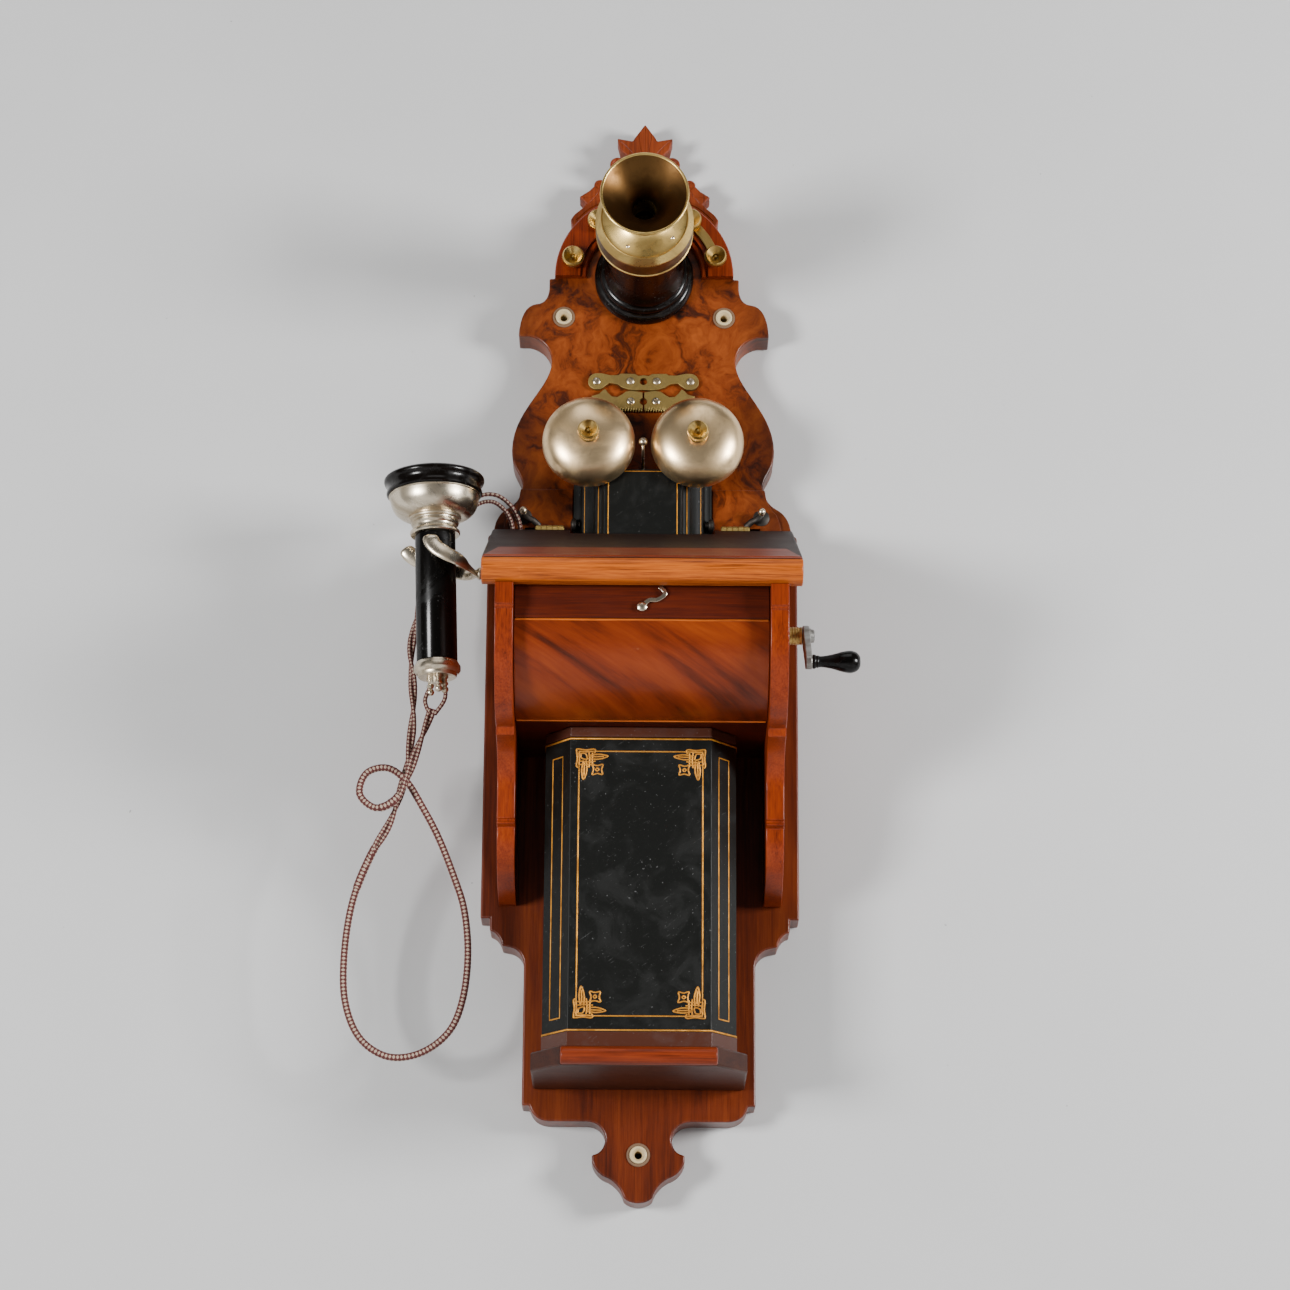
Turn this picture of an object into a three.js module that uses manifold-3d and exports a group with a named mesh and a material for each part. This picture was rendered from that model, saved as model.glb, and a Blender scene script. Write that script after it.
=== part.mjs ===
// Wall crank telephone: a carved backboard with a turned transmitter, two gongs, a desk-shaped magneto
// box with a sloping lid, a battery box below it, and a receiver that hangs on a switch hook.
//
// Millimetres. X is to the right as seen from the front, Y goes into the wall, Z is up, and the wall is
// Y = 0. A place is given as x, out and z, where out is the distance in front of the backboard's face.
import * as THREE from "three";
import { mergeVertices } from "three/addons/utils/BufferGeometryUtils.js";
import Module from "manifold-3d";

// ---- sizes that can be set by themselves -------------------------------------------------------

const GAP = 0.3; // between pieces that touch
const PLAY = 0.4; // round a pin or a shaft that turns

const BOARD_THICK = 25;
const BOARD_MARGIN = 12.5; // from the box's side to the board's edge
const FOOT_MARGIN = 14.4; // from the battery cover's side to the lower board's edge
const MAIN_TOP_Z = 110;
const FOOT_DROP = 10.7; // from the ledge to the end of the lower board
const TIP_DROP = 65;
const VASE_Z = 175; // the widest height of the vase-shaped upper board
const VASE_HALF = 92.8;
const ARCH_RADIUS = 64;
const ARCH_Z = 306;
const SCREW_HOLE = 5.7;

const RING_ROOM = 7; // round the transmitter inside the ring
const RING_THICK = 6;
const CREST_THICK = 16;
const CREST_RISE = 60;

const TRANSMITTER_OUT = 84; // where the brass cup starts
const TRANSMITTER_RADIUS = 34;
const HORN_RADIUS = 30.5;
const HORN_REACH = 150;

const TERMINAL_RADIUS = 8;
const STUD = 2;
const POST_X = 83.5;
const POST_RISE = 13.5; // above the lid's back edge

const ARRESTER_Z = 226;
const ARRESTER_HALF = 39.4;

const GONG_RADIUS = 32.5;
const GONG_DEPTH = 20;
const GONG_GAP = 11; // between the two gongs
const GONG_Z = 169;
const GONG_OUT = 31;
const CLAPPER_BALL = 3.2;

const RINGER_HALF = 48.6;
const RINGER_FRONT_HALF = 27;
const RINGER_DEPTH = 28;
const RINGER_TOP_Z = 151;
const RINGER_HEIGHT = 50;

const BOX_HALF = 96; // half the width across the two side brackets
const SIDE_THICK = 12;
const RAIL_OUT = 153; // front face of the rail
const RAIL_THICK = 12;
const RAIL_FACE = 21.34; // what shows of the rail under the nose
const BOW_HEIGHT = 52.4;
const BOW_BACK = 92; // where the bow panel meets the box bottom
const PANEL_THICK = 5;
const BRACKET_OUT = 66; // how far the side brackets stand out below the box

const LID_SIDE = 9; // how far the lid stands out past the box's side
const LID_BACK_OUT = 12;
const LID_BACK_Z = 111.5;
const LID_SLOPE = THREE.MathUtils.degToRad(24.5);
const LID_THICK = 10;
const NOSE_RADIUS = 9;
const NOSE_OVERHANG = 11; // from the rail's face to the nose's centre
const HINGE_RADIUS = 3;

const COVER_HALF = 64;
const COVER_DEPTH = 80;
const COVER_CHAMFER = 17; // across
const COVER_CHAMFER_DEPTH = 21;
const COVER_HEIGHT = 210;
const COVER_WALL = 3;
const BAND_THICK = 7; // wooden band above the battery cover
const LEDGE_THICK = 13;
const LEDGE_SIDE = 7;
const LEDGE_FRONT = 17;
const CELL_HEIGHT = 150;

const SHAFT_RADIUS = 4;
const CRANK_REACH = 50;
const CRANK_DROP = THREE.MathUtils.degToRad(37); // the crank's rest angle below straight out
const CRANK_THICK = 4.5;
const GRIP_LENGTH = 32;
const GRIP_RADIUS = 7.5;
const GEAR_MODULE = 4 / 3;
const GEAR_TEETH = 40;
const PINION_TEETH = 8;
const MAGNET_WIDTH = 14;
const MAGNET_RADIUS = 32;
const MAGNET_BAR = 9;
const PLATE_THICK = 3;
const MAGNETO_BASE = 12.8;
const MAGNETO_BACK = 24; // room behind the magnets for the induction coil

const RECEIVER_SIDE = 42.5; // from the box's side to the receiver's axis
const RECEIVER_OUT = 62;
const RECEIVER_TILT = THREE.MathUtils.degToRad(2.2);
const RECEIVER_TUBE = 13.9;
const RECEIVER_CAP = 34.5;
const FORK_WIRE = 3;
const HOOK_PIVOT_IN = 40; // from the box's side in to the hook's pivot
const HOOK_PIVOT_Z = 60;

const CORD_RADIUS = 2.4;
const CORD_STEPS = 72;

// The cord's route as x, out, z: from the left line post down behind the receiver, round the hanging
// loop, through the small curl and up to the posts under the receiver.
const CORD_ROUTE = [
  [-88, 4, 112], [-90, 9, 120], [-95, 14, 127], [-104, 18, 132], [-115, 19, 130], [-128, 21, 118],
  [-140, 25, 95], [-149, 30, 68], [-155, 35, 38], [-158, 38, 13], [-156, 42, -10],
  [-155, 45, -34], [-157, 44, -59], [-161, 42, -82], [-169, 39, -107], [-182, 35, -130],
  [-193, 31, -159], [-198, 27, -193], [-197, 25, -226], [-187, 24, -251], [-168, 24, -264],
  [-146, 25, -262], [-127, 27, -248], [-118, 28, -226], [-115, 31, -196], [-118, 34, -166],
  [-126, 37, -142], [-136, 41, -118], [-147, 45, -98], [-158, 48, -81], [-171, 49, -72],
  [-185, 50, -76], [-189, 52, -91], [-178, 54, -101], [-165, 56, -96], [-157, 58, -81],
  [-151, 60, -63], [-145, 61, -46], [-141, 62, -34],
];

// ---- places worked out from those sizes --------------------------------------------------------

const RING_INNER = TRANSMITTER_RADIUS + RING_ROOM;
const TERMINAL_CIRCLE = (RING_INNER + ARCH_RADIUS) / 2;
const GONG_X = GONG_RADIUS + GONG_GAP / 2;
const GONG_TOP = GONG_OUT + GONG_DEPTH;
const POST_Z = LID_BACK_Z + POST_RISE;
const SIDE_INNER = BOX_HALF - SIDE_THICK;
const LID_HALF = BOX_HALF + LID_SIDE;
const BOARD_HALF = BOX_HALF + BOARD_MARGIN;
const NOSE_OUT = RAIL_OUT + NOSE_OVERHANG;
const NOSE_Z = lidTop(NOSE_OUT) - NOSE_RADIUS / Math.cos(LID_SLOPE);
const NOSE_UNDER = NOSE_Z - NOSE_RADIUS;
const BOW_TOP_Z = NOSE_UNDER - RAIL_FACE;
const BOX_BOTTOM_Z = BOW_TOP_Z - BOW_HEIGHT;
const BOX_FLOOR_Z = BOX_BOTTOM_Z + PANEL_THICK;
const LATCH_Z = BOW_TOP_Z + 8;
const BAND_Z = BOX_BOTTOM_Z - GAP - BAND_THICK;
const COVER_TOP_Z = BAND_Z - GAP;
const COVER_BOTTOM_Z = COVER_TOP_Z - COVER_HEIGHT;
const LEDGE_TOP_Z = COVER_BOTTOM_Z - GAP;
const LEDGE_Z = LEDGE_TOP_Z - LEDGE_THICK;
const LEDGE_HALF = COVER_HALF + LEDGE_SIDE;
const LEDGE_DEPTH = COVER_DEPTH + LEDGE_FRONT;
const CELL_RADIUS = (COVER_HALF - COVER_WALL) / 2 - 3.5;
const FOOT_HALF = COVER_HALF + FOOT_MARGIN;
const MAIN_BOTTOM_Z = BOX_BOTTOM_Z - 113.6;
const FOOT_BOTTOM_Z = LEDGE_Z - FOOT_DROP;
const TIP_Z = FOOT_BOTTOM_Z - TIP_DROP;
const GEAR_RADIUS = (GEAR_MODULE * GEAR_TEETH) / 2;
const PINION_RADIUS = (GEAR_MODULE * PINION_TEETH) / 2;
const ARMATURE_RADIUS = MAGNET_RADIUS - MAGNET_BAR - 8;
const MAGNET_BOTTOM_Z = BOX_FLOOR_Z + MAGNETO_BASE + 2 * GAP;
const ARMATURE_Z = MAGNET_BOTTOM_Z + ARMATURE_RADIUS + 6;
const SHAFT_Z = ARMATURE_Z + GEAR_RADIUS + PINION_RADIUS;
const SHAFT_OUT = MAGNET_RADIUS + MAGNETO_BACK;
const MAGNET_STACK = 3 * MAGNET_WIDTH + 2 * GAP;
const PLATE_X = MAGNET_STACK / 2 + 1;
const GEAR_X = PLATE_X + PLATE_THICK + 8;
const ARM_X = LID_HALF + 4.4;
const RINGER_BOTTOM_Z = RINGER_TOP_Z - RINGER_HEIGHT;
const COIL_OUT = RINGER_DEPTH / 2;
const CLAPPER_PIVOT_Z = RINGER_TOP_Z - 8;
const HINGE_OUT = LID_BACK_OUT - HINGE_RADIUS - 2;
const HINGE_Z = LID_BACK_Z - HINGE_RADIUS;
const HINGE_X = RINGER_HALF + 20.4;
const HOOK_PIVOT_X = HOOK_PIVOT_IN - BOX_HALF;
const RECEIVER_X = -BOX_HALF - RECEIVER_SIDE;

function lidTop(out) {
  return LID_BACK_Z - (out - LID_BACK_OUT) * Math.tan(LID_SLOPE);
}

function lidUnder(out) {
  return lidTop(out) - LID_THICK / Math.cos(LID_SLOPE);
}

// ---- materials ---------------------------------------------------------------------------------

function material(color, roughness, metalness) {
  return new THREE.MeshStandardMaterial({ color, roughness, metalness });
}

const WALNUT = material(0x5a2f1c, 0.5, 0);
const OAK = material(0xa0673a, 0.5, 0);
const MAHOGANY = material(0x6e3421, 0.5, 0);
const EBONY = material(0x161412, 0.4, 0);
const JAPAN = material(0x1a1a1b, 0.45, 0.2);
const BRASS = material(0xa88a4c, 0.4, 1);
const BRONZE = material(0x9a9080, 0.35, 1);
const NICKEL = material(0xb5b2a8, 0.3, 1);
const STEEL = material(0x6f7072, 0.45, 1);
const COPPER = material(0x8a4a2a, 0.6, 0.3);
const IVORY = material(0xd8cba6, 0.5, 0);
const ZINC = material(0x8d8f90, 0.6, 0.8);
const BRAID = material(0x8a4a35, 0.9, 0);

// ---- solids ------------------------------------------------------------------------------------

const wasm = await Module();
wasm.setup();

const phone = new THREE.Group();

// A closed geometry as a manifold-3d solid whose faces point out.
function solid(geometry) {
  const bare = geometry.index ? geometry.toNonIndexed() : geometry.clone();
  bare.deleteAttribute("normal");
  bare.deleteAttribute("uv");
  const merged = mergeVertices(bare, 1e-4);
  const at = (corner) => new THREE.Vector3().fromBufferAttribute(merged.attributes.position, corner);
  const triVerts = [];
  let volume = 0;
  for (let i = 0; i < merged.index.count; i += 3) {
    const [a, b, c] = merged.index.array.slice(i, i + 3);
    if (a === b || b === c || c === a) continue;
    triVerts.push(a, b, c);
    volume += at(a).dot(at(b).cross(at(c)));
  }
  if (volume < 0) triVerts.reverse();
  return new wasm.Manifold(
    new wasm.Mesh({
      numProp: 3,
      vertProperties: merged.attributes.position.array,
      triVerts: new Uint32Array(triVerts),
    }),
  );
}

function joined(...solids) {
  return solids.reduce((whole, piece) => whole.add(piece));
}

function cut(whole, ...tools) {
  return tools.reduce((left, tool) => left.subtract(tool), whole);
}

// Adds a solid to a group as a named mesh, at x, y, z in that group.
function piece(name, body, skin, place = [0, 0, 0], parent = phone) {
  const made = body.getMesh();
  const geometry = new THREE.BufferGeometry();
  geometry.setAttribute("position", new THREE.BufferAttribute(made.vertProperties, 3));
  geometry.setIndex(new THREE.BufferAttribute(made.triVerts, 1));
  geometry.computeVertexNormals();
  const mesh = new THREE.Mesh(geometry, skin);
  mesh.name = name;
  mesh.position.set(...place);
  parent.add(mesh);
  return mesh;
}

// A point given as x, out, z in the part's frame.
function spot(x, out, z) {
  return [x, -(BOARD_THICK + out), z];
}

function polygon(points) {
  return new THREE.Shape(points.map(([x, y]) => new THREE.Vector2(x, y)));
}

// A shape in x and z, extruded forwards from one distance in front of the board to another.
function frontPlate(shape, outFrom, outTo, curveSegments = 10) {
  const depth = outTo - outFrom;
  const made = new THREE.ExtrudeGeometry(shape, { depth, bevelEnabled: false, curveSegments });
  made.rotateX(Math.PI / 2);
  made.translate(...spot(0, outFrom, 0));
  return solid(made);
}

// A shape in out and z, extruded along X.
function sidePlate(shape, xFrom, xTo, curveSegments = 10) {
  const depth = xTo - xFrom;
  const made = new THREE.ExtrudeGeometry(shape, { depth, bevelEnabled: false, curveSegments });
  const turn = new THREE.Matrix4().set(0, 0, 1, xFrom, -1, 0, 0, -BOARD_THICK, 0, 1, 0, 0, 0, 0, 0, 1);
  made.applyMatrix4(turn);
  return solid(made);
}

// A shape in x and out, extruded upwards.
function floorPlate(points, zFrom, zTo) {
  const shape = polygon(points.map(([x, out]) => [x, -(BOARD_THICK + out)]));
  const made = new THREE.ExtrudeGeometry(shape, { depth: zTo - zFrom, bevelEnabled: false });
  made.translate(0, 0, zFrom);
  return solid(made);
}

function block(xFrom, xTo, outFrom, outTo, zFrom, zTo) {
  return floorPlate([[xFrom, outFrom], [xTo, outFrom], [xTo, outTo], [xFrom, outTo]], zFrom, zTo);
}

// A profile of radius and height turned about Z, or about the direction it is then turned to.
function turned(profile, segments = 24) {
  const made = new THREE.LatheGeometry(polygon(profile).getPoints(), segments);
  return solid(made.rotateX(Math.PI / 2));
}

function turnedOut(profile, segments) {
  return turned(profile, segments).rotate([90, 0, 0]);
}

function turnedAcross(profile, segments) {
  return turned(profile, segments).rotate([0, 90, 0]);
}

function rod(radius, from, to, segments = 12) {
  return turned([[0, from], [radius, from], [radius, to], [0, to]], segments);
}

function rodOut(radius, from, to, segments) {
  return rod(radius, from, to, segments).rotate([90, 0, 0]);
}

function rodAcross(radius, from, to, segments) {
  return rod(radius, from, to, segments).rotate([0, 90, 0]);
}

// A ring profile closes on itself.
function tube(inner, outer, from, to, segments = 24) {
  return turned([[inner, from], [outer, from], [outer, to], [inner, to], [inner, from]], segments);
}

// A round bar along a smooth curve through points given as x, out, z.
function bar(route, radius, steps, sides = 8) {
  const curve = new THREE.CatmullRomCurve3(route.map((place) => new THREE.Vector3(...spot(...place))));
  const section = new THREE.Shape();
  section.absarc(0, 0, radius, 0, 2 * Math.PI);
  const curveSegments = sides / 2;
  return solid(
    new THREE.ExtrudeGeometry(section, { extrudePath: curve, steps, curveSegments, bevelEnabled: false }),
  );
}

// ---- backboard and what is screwed to it -------------------------------------------------------

// The right half of the board's outline, from the top of the arch down to the tip.
function boardHalf() {
  const edge = new THREE.Path();
  const shoulder = ARCH_RADIUS + 4;
  edge.absarc(0, ARCH_Z, ARCH_RADIUS, Math.PI / 2, 0, true);
  edge.lineTo(shoulder, ARCH_Z);
  edge.lineTo(shoulder, ARCH_Z - 8);
  edge.quadraticCurveTo(shoulder + 1, ARCH_Z - 19, shoulder + 9, ARCH_Z - 19.5);
  edge.quadraticCurveTo(shoulder + 20.5, ARCH_Z - 21, shoulder + 21.5, ARCH_Z - 44.5);
  edge.lineTo(shoulder + 14, ARCH_Z - 44.5);
  edge.quadraticCurveTo(shoulder - 1, ARCH_Z - 48, shoulder - 2.5, ARCH_Z - 64);
  edge.bezierCurveTo(shoulder - 2, VASE_Z + 47, VASE_HALF, VASE_Z + 30, VASE_HALF, VASE_Z);
  edge.bezierCurveTo(VASE_HALF, VASE_Z - 15, VASE_HALF - 7, VASE_Z - 17, VASE_HALF - 8, MAIN_TOP_Z + 38);
  edge.quadraticCurveTo(VASE_HALF - 7, MAIN_TOP_Z + 27, VASE_HALF + 1, MAIN_TOP_Z + 22);
  edge.quadraticCurveTo(BOARD_HALF - 5, MAIN_TOP_Z + 17, BOARD_HALF - 4, MAIN_TOP_Z + 4);
  edge.lineTo(BOARD_HALF, MAIN_TOP_Z);
  edge.lineTo(BOARD_HALF, MAIN_BOTTOM_Z);
  edge.lineTo(BOARD_HALF - 6.5, MAIN_BOTTOM_Z);
  edge.lineTo(BOARD_HALF - 6.5, MAIN_BOTTOM_Z - 8.5);
  edge.quadraticCurveTo(FOOT_HALF + 17, MAIN_BOTTOM_Z - 10, FOOT_HALF + 15, MAIN_BOTTOM_Z - 19);
  edge.lineTo(FOOT_HALF + 9.5, MAIN_BOTTOM_Z - 20);
  edge.quadraticCurveTo(FOOT_HALF + 1, MAIN_BOTTOM_Z - 22, FOOT_HALF, MAIN_BOTTOM_Z - 32);
  edge.lineTo(FOOT_HALF, FOOT_BOTTOM_Z);
  edge.lineTo(FOOT_HALF - 5, FOOT_BOTTOM_Z);
  edge.quadraticCurveTo(FOOT_HALF - 8, FOOT_BOTTOM_Z - 10, FOOT_HALF - 18, FOOT_BOTTOM_Z - 10.5);
  edge.lineTo(35, FOOT_BOTTOM_Z - 10.5);
  edge.quadraticCurveTo(24, FOOT_BOTTOM_Z - 11, 22, FOOT_BOTTOM_Z - 22);
  edge.quadraticCurveTo(23, TIP_Z + 33, 31, TIP_Z + 32);
  edge.lineTo(31, TIP_Z + 27.5);
  edge.quadraticCurveTo(28, TIP_Z + 19, 20, TIP_Z + 16.5);
  edge.quadraticCurveTo(12, TIP_Z + 12, 9.5, TIP_Z + 3.5);
  edge.quadraticCurveTo(6, TIP_Z, 0, TIP_Z);
  return edge.getPoints(5);
}

const SCREW_PLACES = [[-57.3, ARCH_Z - 30], [57.3, ARCH_Z - 30], [0, TIP_Z + 32]];
const TERMINAL_ANGLES = [13.5, 51, 129, 166.5].map(THREE.MathUtils.degToRad);

function terminalPlace(angle) {
  return [TERMINAL_CIRCLE * Math.cos(angle), ARCH_Z + TERMINAL_CIRCLE * Math.sin(angle)];
}

function backboard() {
  const right = boardHalf();
  const left = right.slice(1, -1).reverse().map((p) => new THREE.Vector2(-p.x, p.y));
  const board = frontPlate(new THREE.Shape([...right, ...left]), -BOARD_THICK, 0);
  const screws = SCREW_PLACES.map(([x, z]) =>
    rodOut(SCREW_HOLE, -BOARD_THICK - 1, 1, 14).translate(spot(x, 0, z)),
  );
  const studs = TERMINAL_ANGLES.map((angle) => {
    const [x, z] = terminalPlace(angle);
    return rodOut(STUD + PLAY, -9, 1).translate(spot(x, 0, z));
  });
  piece("backboard", cut(board, ...screws, ...studs), WALNUT);
}

function screwBushes() {
  const outer = SCREW_HOLE - GAP;
  const profile = [
    [3, -BOARD_THICK], [outer, -BOARD_THICK], [outer, GAP], [outer + 2.5, GAP], [outer + 1.6, 2], [3, 1.6],
    [3, -BOARD_THICK],
  ];
  SCREW_PLACES.forEach(([x, z], i) =>
    piece(`wall_bush_${i + 1}`, turnedOut(profile, 14), IVORY, spot(x, 0, z)),
  );
}

function archRing() {
  const shape = new THREE.Shape();
  shape.absarc(0, ARCH_Z, ARCH_RADIUS, 0, Math.PI, false);
  shape.absarc(0, ARCH_Z, RING_INNER, Math.PI, 0, true);
  const ring = frontPlate(shape, GAP, GAP + RING_THICK, 15);
  const studs = TERMINAL_ANGLES.map((angle) => {
    const [x, z] = terminalPlace(angle);
    return rodOut(STUD + PLAY, -1, RING_THICK + 2).translate(spot(x, 0, z));
  });
  piece("arch_ring", cut(ring, ...studs), WALNUT);
}

// Half of the crest's outline from its tip to the end of one arm: degrees from the middle, and the
// height above the arch as a share of the crest's rise.
const CREST_EDGE = [
  [0, 1], [3.9, 0.82], [4.6, 0.78], [10.2, 0.84], [9.9, 0.68], [7.9, 0.6], [9.4, 0.55], [8.9, 0.38],
  [12.4, 0.234], [16, 0.18], [20.1, 0.21], [23, 0.35], [29.6, 0.29], [35.7, 0.287], [35.1, 0.161],
  [38, 0.145], [44, 0.145], [48, 0.13], [52.1, 0],
];
const CREST_VOLUTE = [12.2, 0.5, 0.092]; // degrees, height and radius as shares of the rise
const CREST_SCROLL = [23.3, 0.3, 0.071];

// The carved crest: two tapering arms on the arch, scrolls on them, two volutes and three leaves.
function crest() {
  const seat = ARCH_RADIUS + GAP;
  const rise = CREST_RISE - GAP;
  const back = -(BOARD_THICK + CREST_THICK) / 2;
  const place = (degrees, share) => {
    const angle = THREE.MathUtils.degToRad(degrees);
    const r = seat + share * rise;
    return [r * Math.sin(angle), ARCH_Z + r * Math.cos(angle)];
  };
  const right = CREST_EDGE.map(([degrees, share]) => place(degrees, share));
  const left = right.slice(1).reverse().map(([x, z]) => [-x, z]);
  const disc = (degrees, share, size) => {
    const round = new THREE.Shape();
    round.absarc(...place(degrees, share), size * rise, 0, 2 * Math.PI);
    return frontPlate(round, back, back + CREST_THICK, 9);
  };
  const ends = [CREST_VOLUTE, CREST_SCROLL].flatMap(([degrees, share, size]) => [
    disc(degrees, share, size),
    disc(-degrees, share, size),
  ]);
  const body = joined(frontPlate(polygon([...right, ...left]), back, back + CREST_THICK), ...ends);
  const bore = rodOut(seat, back - 1, back + CREST_THICK + 1, 60).translate(spot(0, 0, ARCH_Z));
  piece("crest", cut(body, bore), MAHOGANY);
}

// ---- transmitter -------------------------------------------------------------------------------

function transmitter() {
  const base = TRANSMITTER_RADIUS + 1.5;
  const cup = TRANSMITTER_RADIUS;
  const centre = spot(0, 0, ARCH_Z);
  const stemEnd = TRANSMITTER_OUT - GAP;
  const stem = [
    [0, GAP], [base, GAP], [base, 7], [base - 3, 9], [base - 4, 14], [base - 6, 16], [base - 7, 21], [25, 23],
    [25, stemEnd], [0, stemEnd],
  ];
  piece("transmitter_stem", turnedOut(stem, 32), EBONY, centre);
  const cupEnd = TRANSMITTER_OUT + 17;
  const body = [
    [0, TRANSMITTER_OUT], [cup, TRANSMITTER_OUT], [cup, cupEnd], [cup - 2, cupEnd],
    [cup - 2, TRANSMITTER_OUT + 3], [0, TRANSMITTER_OUT + 3],
  ];
  piece("transmitter_cup", turnedOut(body, 32), BRASS, centre);
  const capsule = [
    [0, TRANSMITTER_OUT + 4], [14, TRANSMITTER_OUT + 4], [14, TRANSMITTER_OUT + 11],
    [26, TRANSMITTER_OUT + 11], [26, TRANSMITTER_OUT + 14], [0, TRANSMITTER_OUT + 14],
  ];
  piece("carbon_capsule", turnedOut(capsule, 24), STEEL, centre);
  const faceFrom = cupEnd + GAP;
  const neck = 8;
  const neckEnd = faceFrom + 19;
  const face = [
    [neck, faceFrom], [cup, faceFrom], [cup, faceFrom + 2], [cup - 3.5, faceFrom + 7],
    [cup - 5, faceFrom + 7.5], [neck + 5, neckEnd - 4], [neck + 5, neckEnd], [neck, neckEnd],
    [neck, faceFrom],
  ];
  piece("transmitter_face", turnedOut(face, 32), BRASS, centre);
  const hornFrom = neckEnd + GAP;
  const flare = (t) => neck + (HORN_RADIUS - 2 - neck) * t ** 1.5;
  const steps = [0, 0.2, 0.4, 0.6, 0.8, 1];
  const out = (t) => hornFrom + (HORN_REACH - hornFrom) * t;
  const inside = steps.map((t) => [flare(t), out(t)]);
  const outside = steps.map((t) => [flare(t) + 2, out(t)]).reverse();
  piece("mouthpiece", turnedOut([...inside, ...outside, inside[0]], 32), BRONZE, centre);
}

// ---- terminals and lightning arrester ----------------------------------------------------------

function terminals() {
  const stripFrom = 2 * GAP + RING_THICK;
  const stripTo = stripFrom + 1.5;
  const band = new THREE.Shape();
  const [from, to] = [TERMINAL_ANGLES[0] - 0.1, TERMINAL_ANGLES[1] + 0.1];
  band.absarc(0, ARCH_Z, TERMINAL_CIRCLE + 4, from, to, false);
  band.absarc(0, ARCH_Z, TERMINAL_CIRCLE - 4, to, from, true);
  const holes = TERMINAL_ANGLES.slice(0, 2).map((angle) => {
    const [x, z] = terminalPlace(angle);
    return rodOut(STUD + PLAY, 0, stripTo + 1).translate(spot(x, 0, z));
  });
  piece("terminal_strip", cut(frontPlate(band, stripFrom, stripTo, 8), ...holes), BRASS);
  TERMINAL_ANGLES.forEach((angle, i) => {
    const [x, z] = terminalPlace(angle);
    const seat = (i < 2 ? stripTo : stripFrom - GAP) + GAP;
    const r = TERMINAL_RADIUS;
    const nut = [
      [0, -8], [STUD, -8], [STUD, seat], [r - 1, seat], [r, seat + 1], [r, seat + 6], [r - 2, seat + 8],
      [3, seat + 8], [3, seat + 10], [0, seat + 10],
    ];
    piece(`terminal_${i + 1}`, turnedOut(nut, 12), BRASS, spot(x, 0, z));
  });
}

function linePosts() {
  const post = [[0, GAP], [6, GAP], [6, 3], [3.5, 5], [3.5, 11], [5, 12], [5, 15], [0, 16]];
  [["left", -POST_X], ["right", POST_X]].forEach(([side, x]) =>
    piece(`line_post_${side}`, turnedOut(post, 14), BRASS, spot(x, 0, POST_Z)),
  );
}

function arrester() {
  const barZ = ARRESTER_Z;
  const barHalf = 6.5;
  const [from, to] = [GAP, GAP + 3];
  const plug = (z) => rodOut(2.6, from - 1, to + 1, 14).translate(spot(0, 0, z));
  const top = block(-ARRESTER_HALF, ARRESTER_HALF, from, to, barZ - barHalf, barZ + barHalf);
  piece("arrester_bar", cut(top, plug(barZ - barHalf + 1)), BRASS);
  const lower = barZ - barHalf - 1.5;
  const lowerCut = plug(lower - 7);
  [["left", -1], ["right", 1]].forEach(([side, hand]) => {
    const edge = [[1, lower], [31, lower], [31, lower - 5], [18, lower - 5], [18, lower - 15]];
    for (let tooth = 0; tooth < 4; tooth += 1) {
      edge.push([16 - 4 * tooth, lower - 12], [14 - 4 * tooth, lower - 15]);
    }
    edge.push([1, lower - 15]);
    const shape = polygon(edge.map(([x, z]) => [hand * x, z]));
    piece(`arrester_plate_${side}`, cut(frontPlate(shape, from, to), lowerCut), BRASS);
  });
}

// ---- ringer ------------------------------------------------------------------------------------

function gongs() {
  const r = GONG_RADIUS;
  const d = GONG_DEPTH;
  const outside = [[r, 0], [r - 0.5, d * 0.3], [r - 4, d * 0.62], [r - 12, d * 0.88], [r - 24, d], [5, d]];
  const inside = [[5, d - 2], [r - 24, d - 2], [r - 12.6, d * 0.8], [r - 5.6, d * 0.56], [r - 2.3, d * 0.27],
    [r - 2, 0]];
  const shell = [...outside, ...inside, outside[0]];
  const hub = 5 - PLAY;
  const stud = [
    [0, GAP], [8, GAP], [8, 3], [hub, 4], [hub, GONG_TOP + GAP], [TERMINAL_RADIUS, GONG_TOP + GAP],
    [TERMINAL_RADIUS, GONG_TOP + 4], [5, GONG_TOP + 8], [0, GONG_TOP + 9],
  ];
  [["left", -GONG_X], ["right", GONG_X]].forEach(([side, x]) => {
    piece(`gong_${side}`, turnedOut(shell, 28), BRONZE, spot(x, GONG_OUT, GONG_Z));
    piece(`gong_stud_${side}`, turnedOut(stud, 12), BRASS, spot(x, 0, GONG_Z));
  });
}

// A cover that wraps round three sides, as a plan of half width, depth, and the chamfer's two sides.
function wrapPlan(half, depth, across, back, from) {
  return [
    [-half, from], [-half, depth - back], [-half + across, depth], [half - across, depth],
    [half, depth - back], [half, from],
  ];
}

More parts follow.
